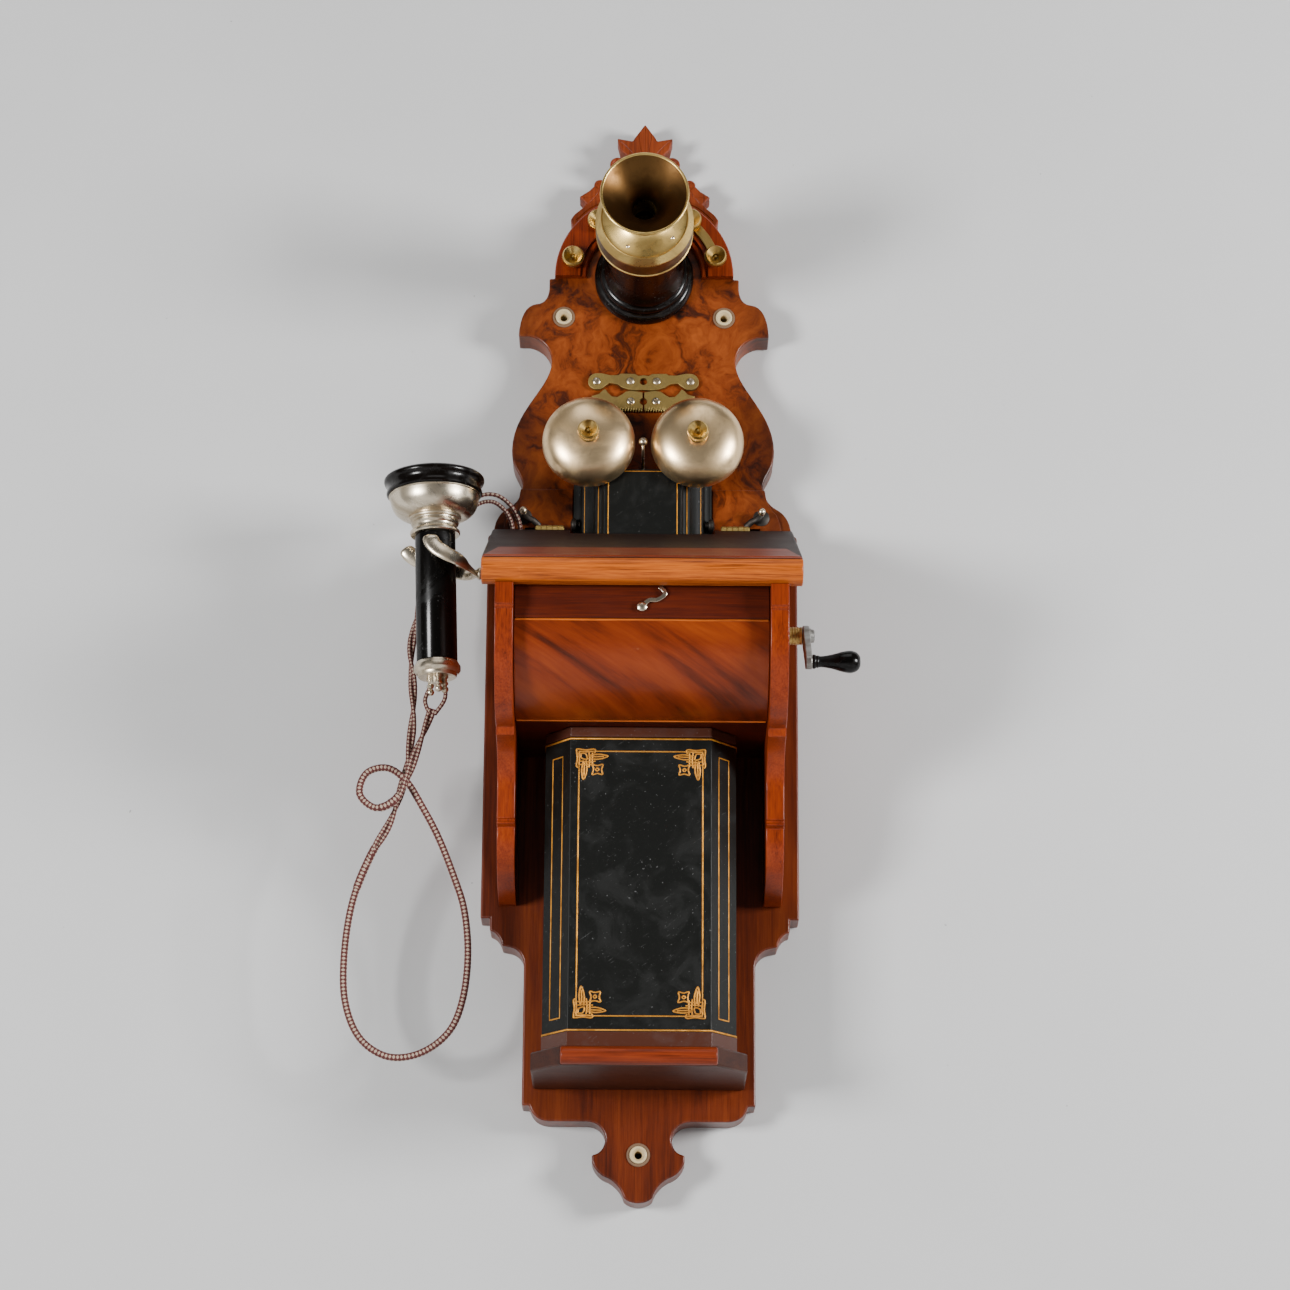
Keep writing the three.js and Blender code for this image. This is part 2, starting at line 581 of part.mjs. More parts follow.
function ringerCover() {
  const chamfer = RINGER_HALF - RINGER_FRONT_HALF;
  const plan = (inset) => {
    const front = RINGER_FRONT_HALF - inset * 0.5;
    const half = RINGER_HALF - inset;
    const depth = RINGER_DEPTH - inset;
    const shoulder = RINGER_DEPTH - chamfer - inset * 0.5;
    return [[-half, GAP], [-half, shoulder], [-front, depth], [front, depth], [half, shoulder], [half, GAP]];
  };
  const shell = floorPlate(plan(0), RINGER_BOTTOM_Z, RINGER_TOP_Z);
  const hollow = floorPlate(plan(2.5), RINGER_BOTTOM_Z - 1, RINGER_TOP_Z - 3);
  const slot = block(-6, 6, COIL_OUT - 4, COIL_OUT + 8, RINGER_TOP_Z - 5, RINGER_TOP_Z + 1);
  const backOff = block(-RINGER_HALF + 2.5, RINGER_HALF - 2.5, 0, 2, RINGER_BOTTOM_Z - 1, RINGER_TOP_Z - 3);
  piece("ringer_cover", cut(shell, hollow, slot, backOff), JAPAN);
}

function ringerWorks() {
  const top = CLAPPER_PIVOT_Z - 6;
  const coil = (x) =>
    joined(rod(3.5, top - 34, top, 12), tube(3, 9, top - 30, top - 3, 16)).translate(spot(x, COIL_OUT, 0));
  const yoke = block(-26, 26, GAP, COIL_OUT + 5, top - 36, top - 33);
  piece("ringer_coils", joined(coil(-17), coil(17), yoke), COPPER);
  const pivotZ = CLAPPER_PIVOT_Z;
  const ballOut = GONG_OUT + 3;
  const wire = [
    [0, COIL_OUT, pivotZ], [0, COIL_OUT + 1, pivotZ + 6], [0, COIL_OUT + 4, pivotZ + 12],
    [0, ballOut, GONG_Z - 6], [0, ballOut, GONG_Z],
  ];
  const arm = joined(
    bar(wire, 1.2, 8),
    wasm.Manifold.sphere(CLAPPER_BALL, 16).translate(spot(0, ballOut, GONG_Z)),
    block(-22, 22, COIL_OUT - 3, COIL_OUT + 3, pivotZ - 1.2, pivotZ + 1.2),
  );
  piece("clapper", arm, STEEL);
}

// ---- desk-shaped box ---------------------------------------------------------------------------

// The bow panel's curve, a quarter of an ellipse from the rail down to the box bottom.
function bowCurve(shape, inset, clockwise) {
  const across = RAIL_OUT - inset - BOW_BACK;
  const [from, to] = clockwise ? [0, -Math.PI / 2] : [-Math.PI / 2, 0];
  shape.absellipse(BOW_BACK, BOW_TOP_Z, across, BOW_HEIGHT - inset, from, to, clockwise);
}

// A side bracket's outline in out and z: the cap under the nose, the bow, a cove and a foot.
function sideShape() {
  const front = NOSE_OUT + 2;
  const noseUnder = NOSE_UNDER - GAP;
  const bowFront = front - 3;
  const bowFoot = BOW_BACK + 14;
  const bowZ = noseUnder - 18;
  const shape = new THREE.Shape();
  shape.moveTo(GAP, lidUnder(LID_BACK_OUT) - GAP);
  shape.lineTo(LID_BACK_OUT, lidUnder(LID_BACK_OUT) - GAP);
  shape.lineTo(RAIL_OUT - 2, lidUnder(RAIL_OUT - 2) - GAP);
  shape.lineTo(RAIL_OUT - 2, noseUnder);
  shape.lineTo(front, noseUnder);
  shape.lineTo(front, bowZ + 2);
  shape.absellipse(bowFoot, bowZ, bowFront - bowFoot, bowZ - BOX_BOTTOM_Z + 8, 0, -Math.PI / 2, true);
  shape.lineTo(bowFoot - 2, BOX_BOTTOM_Z - 13);
  shape.quadraticCurveTo(BRACKET_OUT + 4, BOX_BOTTOM_Z - 16, BRACKET_OUT + 1, BOX_BOTTOM_Z - 41);
  shape.lineTo(BRACKET_OUT, BOX_BOTTOM_Z - 63);
  shape.lineTo(BRACKET_OUT - 5, BOX_BOTTOM_Z - 65);
  shape.quadraticCurveTo(BRACKET_OUT - 8, BOX_BOTTOM_Z - 97, 8, BOX_BOTTOM_Z - 105);
  shape.lineTo(GAP, BOX_BOTTOM_Z - 105);
  return shape;
}

function boxSides() {
  const [low, high] = [HOOK_PIVOT_Z - 5, HOOK_PIVOT_Z + 14];
  const lever = block(-BOX_HALF - 1, -SIDE_INNER + 1, RECEIVER_OUT - 6, RECEIVER_OUT + 6, low, high);
  const left = sidePlate(sideShape(), -BOX_HALF, -SIDE_INNER);
  piece("side_left", cut(left, lever), WALNUT);
  const shaft = rodAcross(SHAFT_RADIUS + PLAY, 0, 2 * BOX_HALF, 20).translate(spot(0, SHAFT_OUT, SHAFT_Z));
  const right = sidePlate(sideShape(), SIDE_INNER, BOX_HALF);
  piece("side_right", cut(right, shaft), WALNUT);
}

function boxFront() {
  const half = SIDE_INNER - GAP;
  const railTop = lidUnder(RAIL_OUT) - GAP;
  piece("front_rail", block(-half, half, RAIL_OUT - RAIL_THICK, RAIL_OUT, BOW_TOP_Z + GAP, railTop), WALNUT);
  const bow = new THREE.Shape();
  bowCurve(bow, 0, true);
  bowCurve(bow, PANEL_THICK, false);
  piece("bow_panel", sidePlate(bow, -half, half, 12), OAK);
  const bottom = block(-half, half, GAP, BOW_BACK - GAP, BOX_BOTTOM_Z, BOX_BOTTOM_Z + PANEL_THICK);
  piece("box_bottom", bottom, WALNUT);
}

function lid() {
  const back = LID_BACK_OUT;
  const step = RAIL_OUT + GAP;
  const shape = new THREE.Shape();
  shape.moveTo(back, lidUnder(back));
  shape.lineTo(step, lidUnder(step));
  shape.lineTo(step, NOSE_UNDER);
  shape.absarc(NOSE_OUT, NOSE_Z, NOSE_RADIUS, -Math.PI / 2, Math.PI / 2 - LID_SLOPE, false);
  shape.lineTo(back, lidTop(back));
  const desk = sidePlate(shape, -LID_HALF, LID_HALF);
  const notch = block(-RINGER_HALF - 2, RINGER_HALF + 2, 0, RINGER_DEPTH + 8, 0, LID_BACK_Z + 10);
  piece("lid", cut(desk, notch), OAK);
}

function lidHinges() {
  const leaf = block(-15, 15, GAP, GAP + 2, -8, 8);
  const barrel = rodAcross(HINGE_RADIUS, -14, 14, 12).translate(spot(0, HINGE_OUT, 0));
  const web = block(-14, 14, GAP, HINGE_OUT, -1, 1);
  const hinge = joined(leaf, barrel, web);
  [["left", -HINGE_X], ["right", HINGE_X]].forEach(([side, x]) =>
    piece(`hinge_${side}`, hinge, BRASS, [x, 0, HINGE_Z]),
  );
}

// The catch on the rail: an eye on a screw and an S-shaped hook up to the lid's nose.
function latchHook() {
  const out = RAIL_OUT + 2;
  const route = [[0, 0], [6, 4], [11, 4], [15.5, 7], [15, 10.5]];
  const hook = bar(route.map(([x, rise]) => [x, out, LATCH_Z + rise]), 1.4, 12);
  const eye = rodOut(3.2, RAIL_OUT + GAP, RAIL_OUT + 4, 14).translate(spot(0, 0, LATCH_Z));
  piece("latch_hook", joined(hook, eye), NICKEL);
}

// ---- battery box -------------------------------------------------------------------------------

function batteryBox() {
  const [across, back] = [COVER_CHAMFER, COVER_CHAMFER_DEPTH];
  const band = wrapPlan(COVER_HALF, COVER_DEPTH, across, back, GAP);
  piece("battery_band", floorPlate(band, BAND_Z, BAND_Z + BAND_THICK), MAHOGANY);
  const shell = floorPlate(band, COVER_BOTTOM_Z, COVER_TOP_Z);
  const inner = wrapPlan(COVER_HALF - COVER_WALL, COVER_DEPTH - COVER_WALL, across, back, 0);
  const hollow = floorPlate(inner, COVER_BOTTOM_Z - 1, COVER_TOP_Z + 1);
  piece("battery_cover", cut(shell, hollow), JAPAN);
  const ledge = wrapPlan(LEDGE_HALF, LEDGE_DEPTH, across + 3, back + 5, GAP);
  piece("battery_ledge", floorPlate(ledge, LEDGE_Z, LEDGE_TOP_Z), WALNUT);
  const cell = [
    [0, 0], [CELL_RADIUS, 0], [CELL_RADIUS, CELL_HEIGHT], [4, CELL_HEIGHT], [4, CELL_HEIGHT + 8],
    [0, CELL_HEIGHT + 8],
  ];
  const place = (x) => spot(x, CELL_RADIUS + 4, LEDGE_TOP_Z + GAP);
  piece("battery_cell_left", turned(cell, 20), ZINC, place(-CELL_RADIUS - 2));
  piece("battery_cell_right", turned(cell, 20), ZINC, place(CELL_RADIUS + 2));
}

// ---- magneto and crank -------------------------------------------------------------------------

// A gear's outline with trapezoid teeth, the first tooth centred at the angle `start`.
function gearShape(teeth, start) {
  const pitch = (GEAR_MODULE * teeth) / 2;
  const step = (2 * Math.PI) / teeth;
  const points = [];
  for (let tooth = 0; tooth < teeth; tooth += 1) {
    const middle = start + tooth * step;
    for (const [share, height] of [[-0.27, -1.15], [-0.1, 0.8], [0.1, 0.8], [0.27, -1.15]]) {
      const r = pitch + height * GEAR_MODULE;
      points.push([r * Math.cos(middle + share * step), r * Math.sin(middle + share * step)]);
    }
  }
  return polygon(points);
}

// A gear about X, its first tooth centred straight down, or half a tooth off it.
function gear(teeth, start, xFrom, xTo, z) {
  const depth = xTo - xFrom;
  const made = new THREE.ExtrudeGeometry(gearShape(teeth, start), { depth, bevelEnabled: false });
  const y = -BOARD_THICK - SHAFT_OUT;
  const turn = new THREE.Matrix4().set(0, 0, 1, xFrom, -1, 0, 0, y, 0, 1, 0, z, 0, 0, 0, 1);
  return solid(made.applyMatrix4(turn));
}

function magneto() {
  const half = MAGNET_STACK / 2;
  const bend = ARMATURE_Z + MAGNET_RADIUS - 6;
  const horseshoe = (x) => {
    const shape = new THREE.Shape();
    shape.moveTo(SHAFT_OUT + MAGNET_RADIUS, MAGNET_BOTTOM_Z);
    shape.absarc(SHAFT_OUT, bend, MAGNET_RADIUS, 0, Math.PI, false);
    shape.lineTo(SHAFT_OUT - MAGNET_RADIUS, MAGNET_BOTTOM_Z);
    shape.lineTo(SHAFT_OUT - MAGNET_RADIUS + MAGNET_BAR, MAGNET_BOTTOM_Z);
    shape.absarc(SHAFT_OUT, bend, MAGNET_RADIUS - MAGNET_BAR, Math.PI, 0, true);
    shape.lineTo(SHAFT_OUT + MAGNET_RADIUS - MAGNET_BAR, MAGNET_BOTTOM_Z);
    return sidePlate(shape, x, x + MAGNET_WIDTH, 12);
  };
  for (let i = 0; i < 3; i += 1) {
    piece(`magnet_${i + 1}`, horseshoe(-half + i * (MAGNET_WIDTH + GAP)), STEEL);
  }
  const base = block(-PLATE_X - 8, PLATE_X + 8, 20, BOW_BACK - 2, BOX_FLOOR_Z + GAP, MAGNET_BOTTOM_Z - GAP);
  piece("magneto_base", base, WALNUT);
  const bearing = (xFrom) => {
    const half = MAGNET_RADIUS - 4;
    const [front, back] = [SHAFT_OUT + half, SHAFT_OUT - half];
    const plate = block(xFrom, xFrom + PLATE_THICK, back, front, MAGNET_BOTTOM_Z, SHAFT_Z + 12);
    const shaft = rodAcross(SHAFT_RADIUS + PLAY, -100, 100, 16).translate(spot(0, SHAFT_OUT, SHAFT_Z));
    const armature = rodAcross(3 + PLAY, -100, 100, 16).translate(spot(0, SHAFT_OUT, ARMATURE_Z));
    return cut(plate, shaft, armature);
  };
  piece("bearing_plate_left", bearing(-PLATE_X - PLATE_THICK), BRASS);
  piece("bearing_plate_right", bearing(PLATE_X), BRASS);
  const core = rodAcross(ARMATURE_RADIUS, -half + 1, half - 1, 20);
  const spindle = rodAcross(3, -PLATE_X - PLATE_THICK - 3, GEAR_X + 6, 12);
  const place = spot(0, SHAFT_OUT, ARMATURE_Z);
  const pinion = gear(PINION_TEETH, Math.PI / 2 + Math.PI / PINION_TEETH, GEAR_X - 1, GEAR_X + 6, ARMATURE_Z);
  piece("armature", joined(joined(core, spindle).translate(place), pinion), COPPER);
}

function crank() {
  const axis = spot(0, SHAFT_OUT, SHAFT_Z);
  const shaft = rodAcross(SHAFT_RADIUS, -PLATE_X - PLATE_THICK - 3, ARM_X - GAP, 16);
  const collar = rodAcross(SHAFT_RADIUS + 1.5, BOX_HALF + GAP, ARM_X - GAP, 16);
  const wheel = gear(GEAR_TEETH, -Math.PI / 2, GEAR_X, GEAR_X + 5, SHAFT_Z);
  piece("crank_shaft", joined(joined(shaft, collar).translate(axis), wheel), STEEL);
  const gripOut = SHAFT_OUT + CRANK_REACH * Math.cos(CRANK_DROP);
  const gripZ = SHAFT_Z - CRANK_REACH * Math.sin(CRANK_DROP);
  const strap = new THREE.Shape();
  const down = -Math.PI / 2 - CRANK_DROP;
  strap.absarc(SHAFT_OUT, SHAFT_Z, 7, down + Math.PI, down, false);
  strap.absarc(gripOut, gripZ, 5.5, down, down + Math.PI, false);
  const pin = rodAcross(2.5, ARM_X + CRANK_THICK - 1, ARM_X + CRANK_THICK + GRIP_LENGTH - 2, 12);
  const nut = rodAcross(4.5, ARM_X + CRANK_THICK - 1, ARM_X + CRANK_THICK + 3, 6);
  const arm = joined(
    sidePlate(strap, ARM_X, ARM_X + CRANK_THICK, 8),
    pin.translate(spot(0, gripOut, gripZ)),
    nut.translate(axis),
  );
  piece("crank_arm", arm, STEEL);
  const r = GRIP_RADIUS;
  const l = GRIP_LENGTH;
  const bore = 2.5 + PLAY;
  const grip = [
    [bore, 0], [4.2, 0], [3.8, l * 0.12], [r * 0.7, l * 0.4], [r, l * 0.74], [r * 0.85, l * 0.92],
    [r * 0.45, l], [0, l], [0, l - 1.5], [bore, l - 1.5], [bore, 0],
  ];
  piece("crank_grip", turnedAcross(grip, 20), EBONY, spot(ARM_X + CRANK_THICK + GAP, gripOut, gripZ));
}

function inductionCoil() {
  const spool = [[0, -38], [11, -38], [11, -34], [8, -34], [8, 34], [11, 34], [11, 38], [0, 38]];
  piece("induction_coil", turnedAcross(spool, 16), COPPER, spot(0, 12, 32));
}

// ---- switch hook and receiver ------------------------------------------------------------------

function switchHook() {
  const out = RECEIVER_OUT;
  const reach = RECEIVER_TUBE + 1.6 + FORK_WIRE;
  const [x, z] = [HOOK_PIVOT_X, HOOK_PIVOT_Z];
  const arm = bar([[x, out, z], [x - 24, out, z + 1], [x - 44, out, z + 4], [x - 60, out, z + 7]], 3.6, 8);
  const front = bar(
    [
      [x - 56, out, z + 6], [x - 68, out + 11, z + 13], [x - 77, out + reach, z + 22],
      [x - 86, out + reach, z + 25.5], [x - 94, out + reach + 3, z + 31],
    ],
    FORK_WIRE, 10,
  );
  const rear = bar(
    [
      [x - 56, out, z + 6], [x - 68, out - 11, z + 13], [x - 78, out - reach, z + 22],
      [x - 90, out - reach, z + 25.5], [x - 104, out - reach - 2, z + 33],
    ],
    FORK_WIRE, 12,
  );
  const pivot = rodOut(3, out - 12, out + 12, 12).translate(spot(x, 0, z));
  piece("switch_hook", joined(arm, front, rear, pivot), NICKEL);
  const spring = block(x - 2, x + 24, out - 3, out + 3, z - 16, z - 14);
  const stand = block(x + 12, x + 24, out - 8, out + 8, BOX_FLOOR_Z + GAP, z - 15);
  piece("contact_springs", joined(spring, stand), BRASS);
}

function receiver() {
  const set = new THREE.Group();
  set.position.set(...spot(RECEIVER_X, RECEIVER_OUT, 0));
  set.rotation.y = -RECEIVER_TILT;
  phone.add(set);
  const cap = RECEIVER_CAP;
  const r = RECEIVER_TUBE;
  const neckZ = 89.4;
  const cupZ = 101;
  const capZ = 118;
  const inSet = (name, body, skin) => piece(name, body, skin, [0, 0, 0], set);
  inSet("receiver_tube", turned([[0, -1.5], [r, -1.5], [r, neckZ - GAP], [0, neckZ - GAP]], 24), EBONY);
  const cup = [
    [0, neckZ], [r + 3, neckZ], [r + 3, neckZ + 4], [r + 1, neckZ + 6], [r + 4, cupZ], [cap - 7.5, cupZ + 6],
    [cap - 4.5, cupZ + 12], [cap - 3.5, capZ - GAP], [cap - 6.5, capZ - GAP], [cap - 6.5, capZ - 4],
    [0, capZ - 4],
  ];
  inSet("receiver_cup", turned(cup, 28), NICKEL);
  const ear = [
    [5, capZ + 5], [5, capZ + 10], [cap - 8, capZ + 12], [cap - 2, capZ + 13], [cap, capZ + 10],
    [cap, capZ + 2], [cap - 2, capZ], [cap - 7, capZ], [cap - 7, capZ + 5], [5, capZ + 5],
  ];
  inSet("receiver_cap", turned(ear, 28), EBONY);
  const end = [
    [0, -12], [r, -12], [r + 2, -10], [r + 2, -4], [r, -1.5 - GAP], [0, -1.5 - GAP],
  ];
  const post = rod(2.6, -24, -11, 10);
  const posts = joined(post.translate([-5, 3, 0]), post.translate([5, -3, 0]), rod(5, -17, -11, 12));
  inSet("receiver_end", joined(turned(end, 24), posts), NICKEL);
}

function cord() {
  piece("cord", bar(CORD_ROUTE, CORD_RADIUS, CORD_STEPS), BRAID);
}

backboard();
screwBushes();
archRing();
crest();
transmitter();
terminals();
linePosts();
arrester();
gongs();
ringerCover();
ringerWorks();
boxSides();
boxFront();
lid();
lidHinges();
latchHook();
batteryBox();
magneto();
crank();
inductionCoil();
switchHook();
receiver();
cord();

export default phone;
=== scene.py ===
"""The looks of a wall crank telephone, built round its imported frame.

Places are millimetres across, out from the board's face, and up. at() turns them into the frame's metres.
"""
import math
from collections import namedtuple

import bpy
from mathutils import Matrix, Vector


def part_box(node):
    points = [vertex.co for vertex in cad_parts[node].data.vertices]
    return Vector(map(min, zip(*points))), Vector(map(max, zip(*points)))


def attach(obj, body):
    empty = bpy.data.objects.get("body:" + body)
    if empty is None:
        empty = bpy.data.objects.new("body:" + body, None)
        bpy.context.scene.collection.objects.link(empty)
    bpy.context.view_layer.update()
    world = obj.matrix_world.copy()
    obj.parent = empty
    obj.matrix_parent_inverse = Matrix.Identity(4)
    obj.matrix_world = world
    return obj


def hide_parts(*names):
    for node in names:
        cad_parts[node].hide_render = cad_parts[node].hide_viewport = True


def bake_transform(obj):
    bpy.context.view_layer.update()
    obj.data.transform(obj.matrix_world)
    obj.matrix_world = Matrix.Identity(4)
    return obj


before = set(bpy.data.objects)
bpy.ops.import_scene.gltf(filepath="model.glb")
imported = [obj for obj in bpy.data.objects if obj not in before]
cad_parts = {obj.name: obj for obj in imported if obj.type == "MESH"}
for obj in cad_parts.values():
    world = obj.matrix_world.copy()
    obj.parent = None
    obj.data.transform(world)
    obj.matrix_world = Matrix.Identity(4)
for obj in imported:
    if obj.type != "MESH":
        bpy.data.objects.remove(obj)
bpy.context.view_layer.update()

MM = 0.001
BOARD_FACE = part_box("backboard")[0].y
OUTWARD = Vector((0, -1, 0))
UPWARD = Vector((0, 0, 1))
RIGHTWARD = Vector((1, 0, 0))

Span = namedtuple("Span", "left right back front low high")


def span(node):
    """How far a frame node reaches, in millimetres."""
    low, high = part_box(node)
    back, front = ((BOARD_FACE - y) / MM for y in (high.y, low.y))
    return Span(low.x / MM, high.x / MM, back, front, low.z / MM, high.z / MM)


def middle(reach):
    """The middle of a span, across and up."""
    return (reach.left + reach.right) / 2, (reach.low + reach.high) / 2


def at(x, out, z):
    """A place in the frame's metres."""
    return Vector((x * MM, BOARD_FACE - out * MM, z * MM))


# ---- outlines ----------------------------------------------------------------------------------


def arc(centre, radius, start, end, steps=16):
    """Points on a circle, from one angle in degrees to another."""
    turns = [math.radians(start + (end - start) * i / steps) for i in range(steps + 1)]
    return [(centre[0] + radius * math.cos(a), centre[1] + radius * math.sin(a)) for a in turns]


def bend(points, steps=8):
    """A quadratic or cubic curve whose control points are given, without its first point."""
    degree = len(points) - 1
    places = []
    for i in range(1, steps + 1):
        t = i / steps
        shares = [math.comb(degree, k) * t**k * (1 - t) ** (degree - k) for k in range(degree + 1)]
        places.append(tuple(sum(s * p[axis] for s, p in zip(shares, points)) for axis in (0, 1)))
    return places


def smooth(points, steps=6):
    """A curve through points of any dimension, ends included."""
    ends = [points[0], *points, points[-1]]
    places = []
    for a, b, c, d in zip(ends, ends[1:], ends[2:], ends[3:]):
        for i in range(steps):
            t = i / steps
            shares = (
                (-t + 2 * t**2 - t**3) / 2,
                (2 - 5 * t**2 + 3 * t**3) / 2,
                (t + 4 * t**2 - 3 * t**3) / 2,
                (t**3 - t**2) / 2,
            )
            places.append(tuple(sum(s * p[k] for s, p in zip(shares, (a, b, c, d))) for k in range(len(a))))
    return places + [tuple(points[-1])]


def eased(points, radius, steps=3):
    """A closed outline with each corner rounded off."""
    places = []
    count = len(points)
    for i, corner in enumerate(points):
        before = Vector(points[i - 1]) - Vector(corner)
        after = Vector(points[(i + 1) % count]) - Vector(corner)
        reach = min(radius, before.length * 0.45, after.length * 0.45)
        if reach < 0.02 or corner[0] == 0 or before.angle(after) > math.radians(165):
            places.append(tuple(corner))
            continue
        start = Vector(corner) + before.normalized() * reach
        end = Vector(corner) + after.normalized() * reach
        places += [tuple(start), *bend([start, corner, end], steps)]
    return places


def ribbon(points, width):
    """The outline of a flat strip that follows points."""
    line = [Vector(p) for p in points]
    sides = ([], [])
    for i, place in enumerate(line):
        along = line[min(i + 1, len(line) - 1)] - line[max(i - 1, 0)]
        across = Vector((-along.y, along.x)).normalized() * width / 2
        sides[0].append(tuple(place + across))
        sides[1].append(tuple(place - across))
    return sides[0] + sides[1][::-1]


def mirrored(points):
    """The right half of an outline, from top to bottom, with its left half added."""
    return points + [(-x, z) for x, z in reversed(points) if x > 0.01]


# ---- modelling ---------------------------------------------------------------------------------


def clear():
    bpy.ops.object.select_all(action="DESELECT")


def choose(*pieces):
    clear()
    for piece in pieces:
        piece.select_set(True)
    bpy.context.view_layer.objects.active = pieces[0]


def made(name):
    piece = bpy.context.object
    piece.name = name
    piece.data.name = name
    return piece


def edit(piece):
    choose(piece)
    bpy.ops.object.mode_set(mode="EDIT")
    bpy.ops.mesh.select_mode(type="VERT")
    bpy.ops.mesh.select_all(action="SELECT")


def finish_edit(angle=32):
    bpy.ops.mesh.select_all(action="SELECT")
    bpy.ops.mesh.remove_doubles(threshold=0.002 * MM)
    bpy.ops.mesh.normals_make_consistent(inside=False)
    bpy.ops.object.mode_set(mode="OBJECT")
    bpy.ops.object.shade_smooth_by_angle(angle=math.radians(angle))


def loop(name, places):
    """A closed loop of edges through places."""
    clear()
    bpy.ops.mesh.primitive_circle_add(vertices=len(places), radius=MM)
    piece = made(name)
    for corner, place in zip(piece.data.vertices, places):
        corner.co = place
    return piece


def level(piece):
    """Keeps flat faces flat beside their rounded edges."""
    choose(piece)
    bpy.ops.object.shade_smooth_by_angle(angle=math.radians(35))
    weight = piece.modifiers.new("Level faces", "WEIGHTED_NORMAL")
    weight.keep_sharp = True
    weight.weight = 100
    bpy.ops.object.modifier_apply(modifier=weight.name)
    return piece


def ease(piece, width, steps=3, angle=40):
    """Rounds a piece's sharp edges."""
    choose(piece)
    bevel = piece.modifiers.new("Eased edges", "BEVEL")
    bevel.width = width * MM
    bevel.segments = steps
    bevel.limit_method = "ANGLE"
    bevel.angle_limit = math.radians(angle)
    bevel.use_clamp_overlap = True
    bpy.ops.object.modifier_apply(modifier=bevel.name)
    return level(piece)


def slab(name, places, push, soft=0.8):
    """A closed outline of places, pushed along a vector into a solid."""
    piece = loop(name, places)
    edit(piece)
    bpy.ops.mesh.edge_face_add()
    bpy.ops.mesh.extrude_region_move(TRANSFORM_OT_translate={"value": push})
    finish_edit()
    return ease(piece, soft) if soft else piece


def front_slab(name, edge, back, front, soft=0.8):
    """An outline across and up, with its thickness outwards."""
    return slab(name, [at(x, back, z) for x, z in edge], OUTWARD * (front - back) * MM, soft)


def side_slab(name, edge, left, right, soft=0.8):
    """An outline out and up, with its thickness across."""
    return slab(name, [at(left, out, z) for out, z in edge], RIGHTWARD * (right - left) * MM, soft)


def floor_slab(name, edge, low, high, soft=0.8):
    """An outline across and out, with its thickness upwards."""
    return slab(name, [at(x, out, low) for x, out in edge], UPWARD * (high - low) * MM, soft)


def block(name, x, out, z, soft=0.8):
    edge = [(x[0], out[0]), (x[1], out[0]), (x[1], out[1]), (x[0], out[1])]
    return floor_slab(name, edge, z[0], z[1], soft)


def lathe(name, profile, foot, axis=OUTWARD, steps=64, sweep=360, angle=32):
    """A closed profile of radius and height, turned about an axis that starts at foot."""
    side = axis.orthogonal().normalized() if sweep == 360 else RIGHTWARD
    piece = loop(name, [foot + (side * r + axis * h) * MM for r, h in profile])
    edit(piece)
    bpy.ops.mesh.spin(steps=steps, angle=math.radians(sweep), center=foot, axis=axis)
    if sweep < 360:
        bpy.ops.mesh.select_all(action="SELECT")
        bpy.ops.mesh.remove_doubles(threshold=0.002 * MM)
        bpy.ops.mesh.fill_holes(sides=0)
    finish_edit(angle)
    return piece


def tube(name, places, radius, sides=16, flat=1.0, facing=OUTWARD, twist=0.0, lead=None):
    """A round or flattened bar along places. Its first texture axis runs along it, in millimetres."""
    radii = radius if isinstance(radius, (list, tuple)) else [radius] * len(places)
    rings = len(places)
    clear()
    bpy.ops.mesh.primitive_grid_add(x_subdivisions=sides, y_subdivisions=rings - 1, size=MM)
    piece = made(name)
    run = [0.0]
    for a, b in zip(places, places[1:]):
        run.append(run[-1] + (b - a).length / MM)
    row = sides + 1
    for i, place in enumerate(places):
        along = (places[min(i + 1, rings - 1)] - places[max(i - 1, 0)]).normalized()
        side = along.cross(facing).normalized()
        top = side.cross(along)
        shift = Vector()
        if lead:
            phase = twist * run[i]
            shift = (side * math.cos(phase) + top * math.sin(phase)) * lead * MM
        for j in range(row):
            a = 2 * math.pi * j / sides
            ring = side * math.cos(a) + top * math.sin(a) * flat
            piece.data.vertices[i * row + j].co = place + shift + ring * radii[i] * MM
    map_ = piece.data.uv_layers.active.data
    for corner in piece.data.loops:
        i, j = divmod(corner.vertex_index, row)
        map_[corner.index].uv = (run[i], j / sides)
    edit(piece)
    bpy.ops.mesh.remove_doubles(threshold=0.002 * MM)
    bpy.ops.mesh.select_all(action="SELECT")
    bpy.ops.mesh.fill_holes(sides=0)
    finish_edit(45)
    return piece


def wires(name, paths, radius, closed=False):
    """Thin round wires along several paths, as one mesh."""
    clear()
    bpy.ops.curve.primitive_bezier_curve_add()
    piece = made(name)
    shape = piece.data
    shape.splines.clear()
    shape.dimensions = "3D"
    shape.bevel_depth = radius * MM
    shape.bevel_resolution = 2
    shape.use_fill_caps = True
    for path in paths:
        line = shape.splines.new("POLY")
        line.points.add(len(path) - 1)
        line.use_cyclic_u = closed
        for point, place in zip(line.points, path):
            point.co = (*place, 1)
    choose(piece)
    bpy.ops.object.convert(target="MESH")
    piece = made(name)
    edit(piece)
    finish_edit(60)
    return piece


def join(name, *pieces):
    choose(*pieces)
    bpy.ops.object.join()
    return made(name)


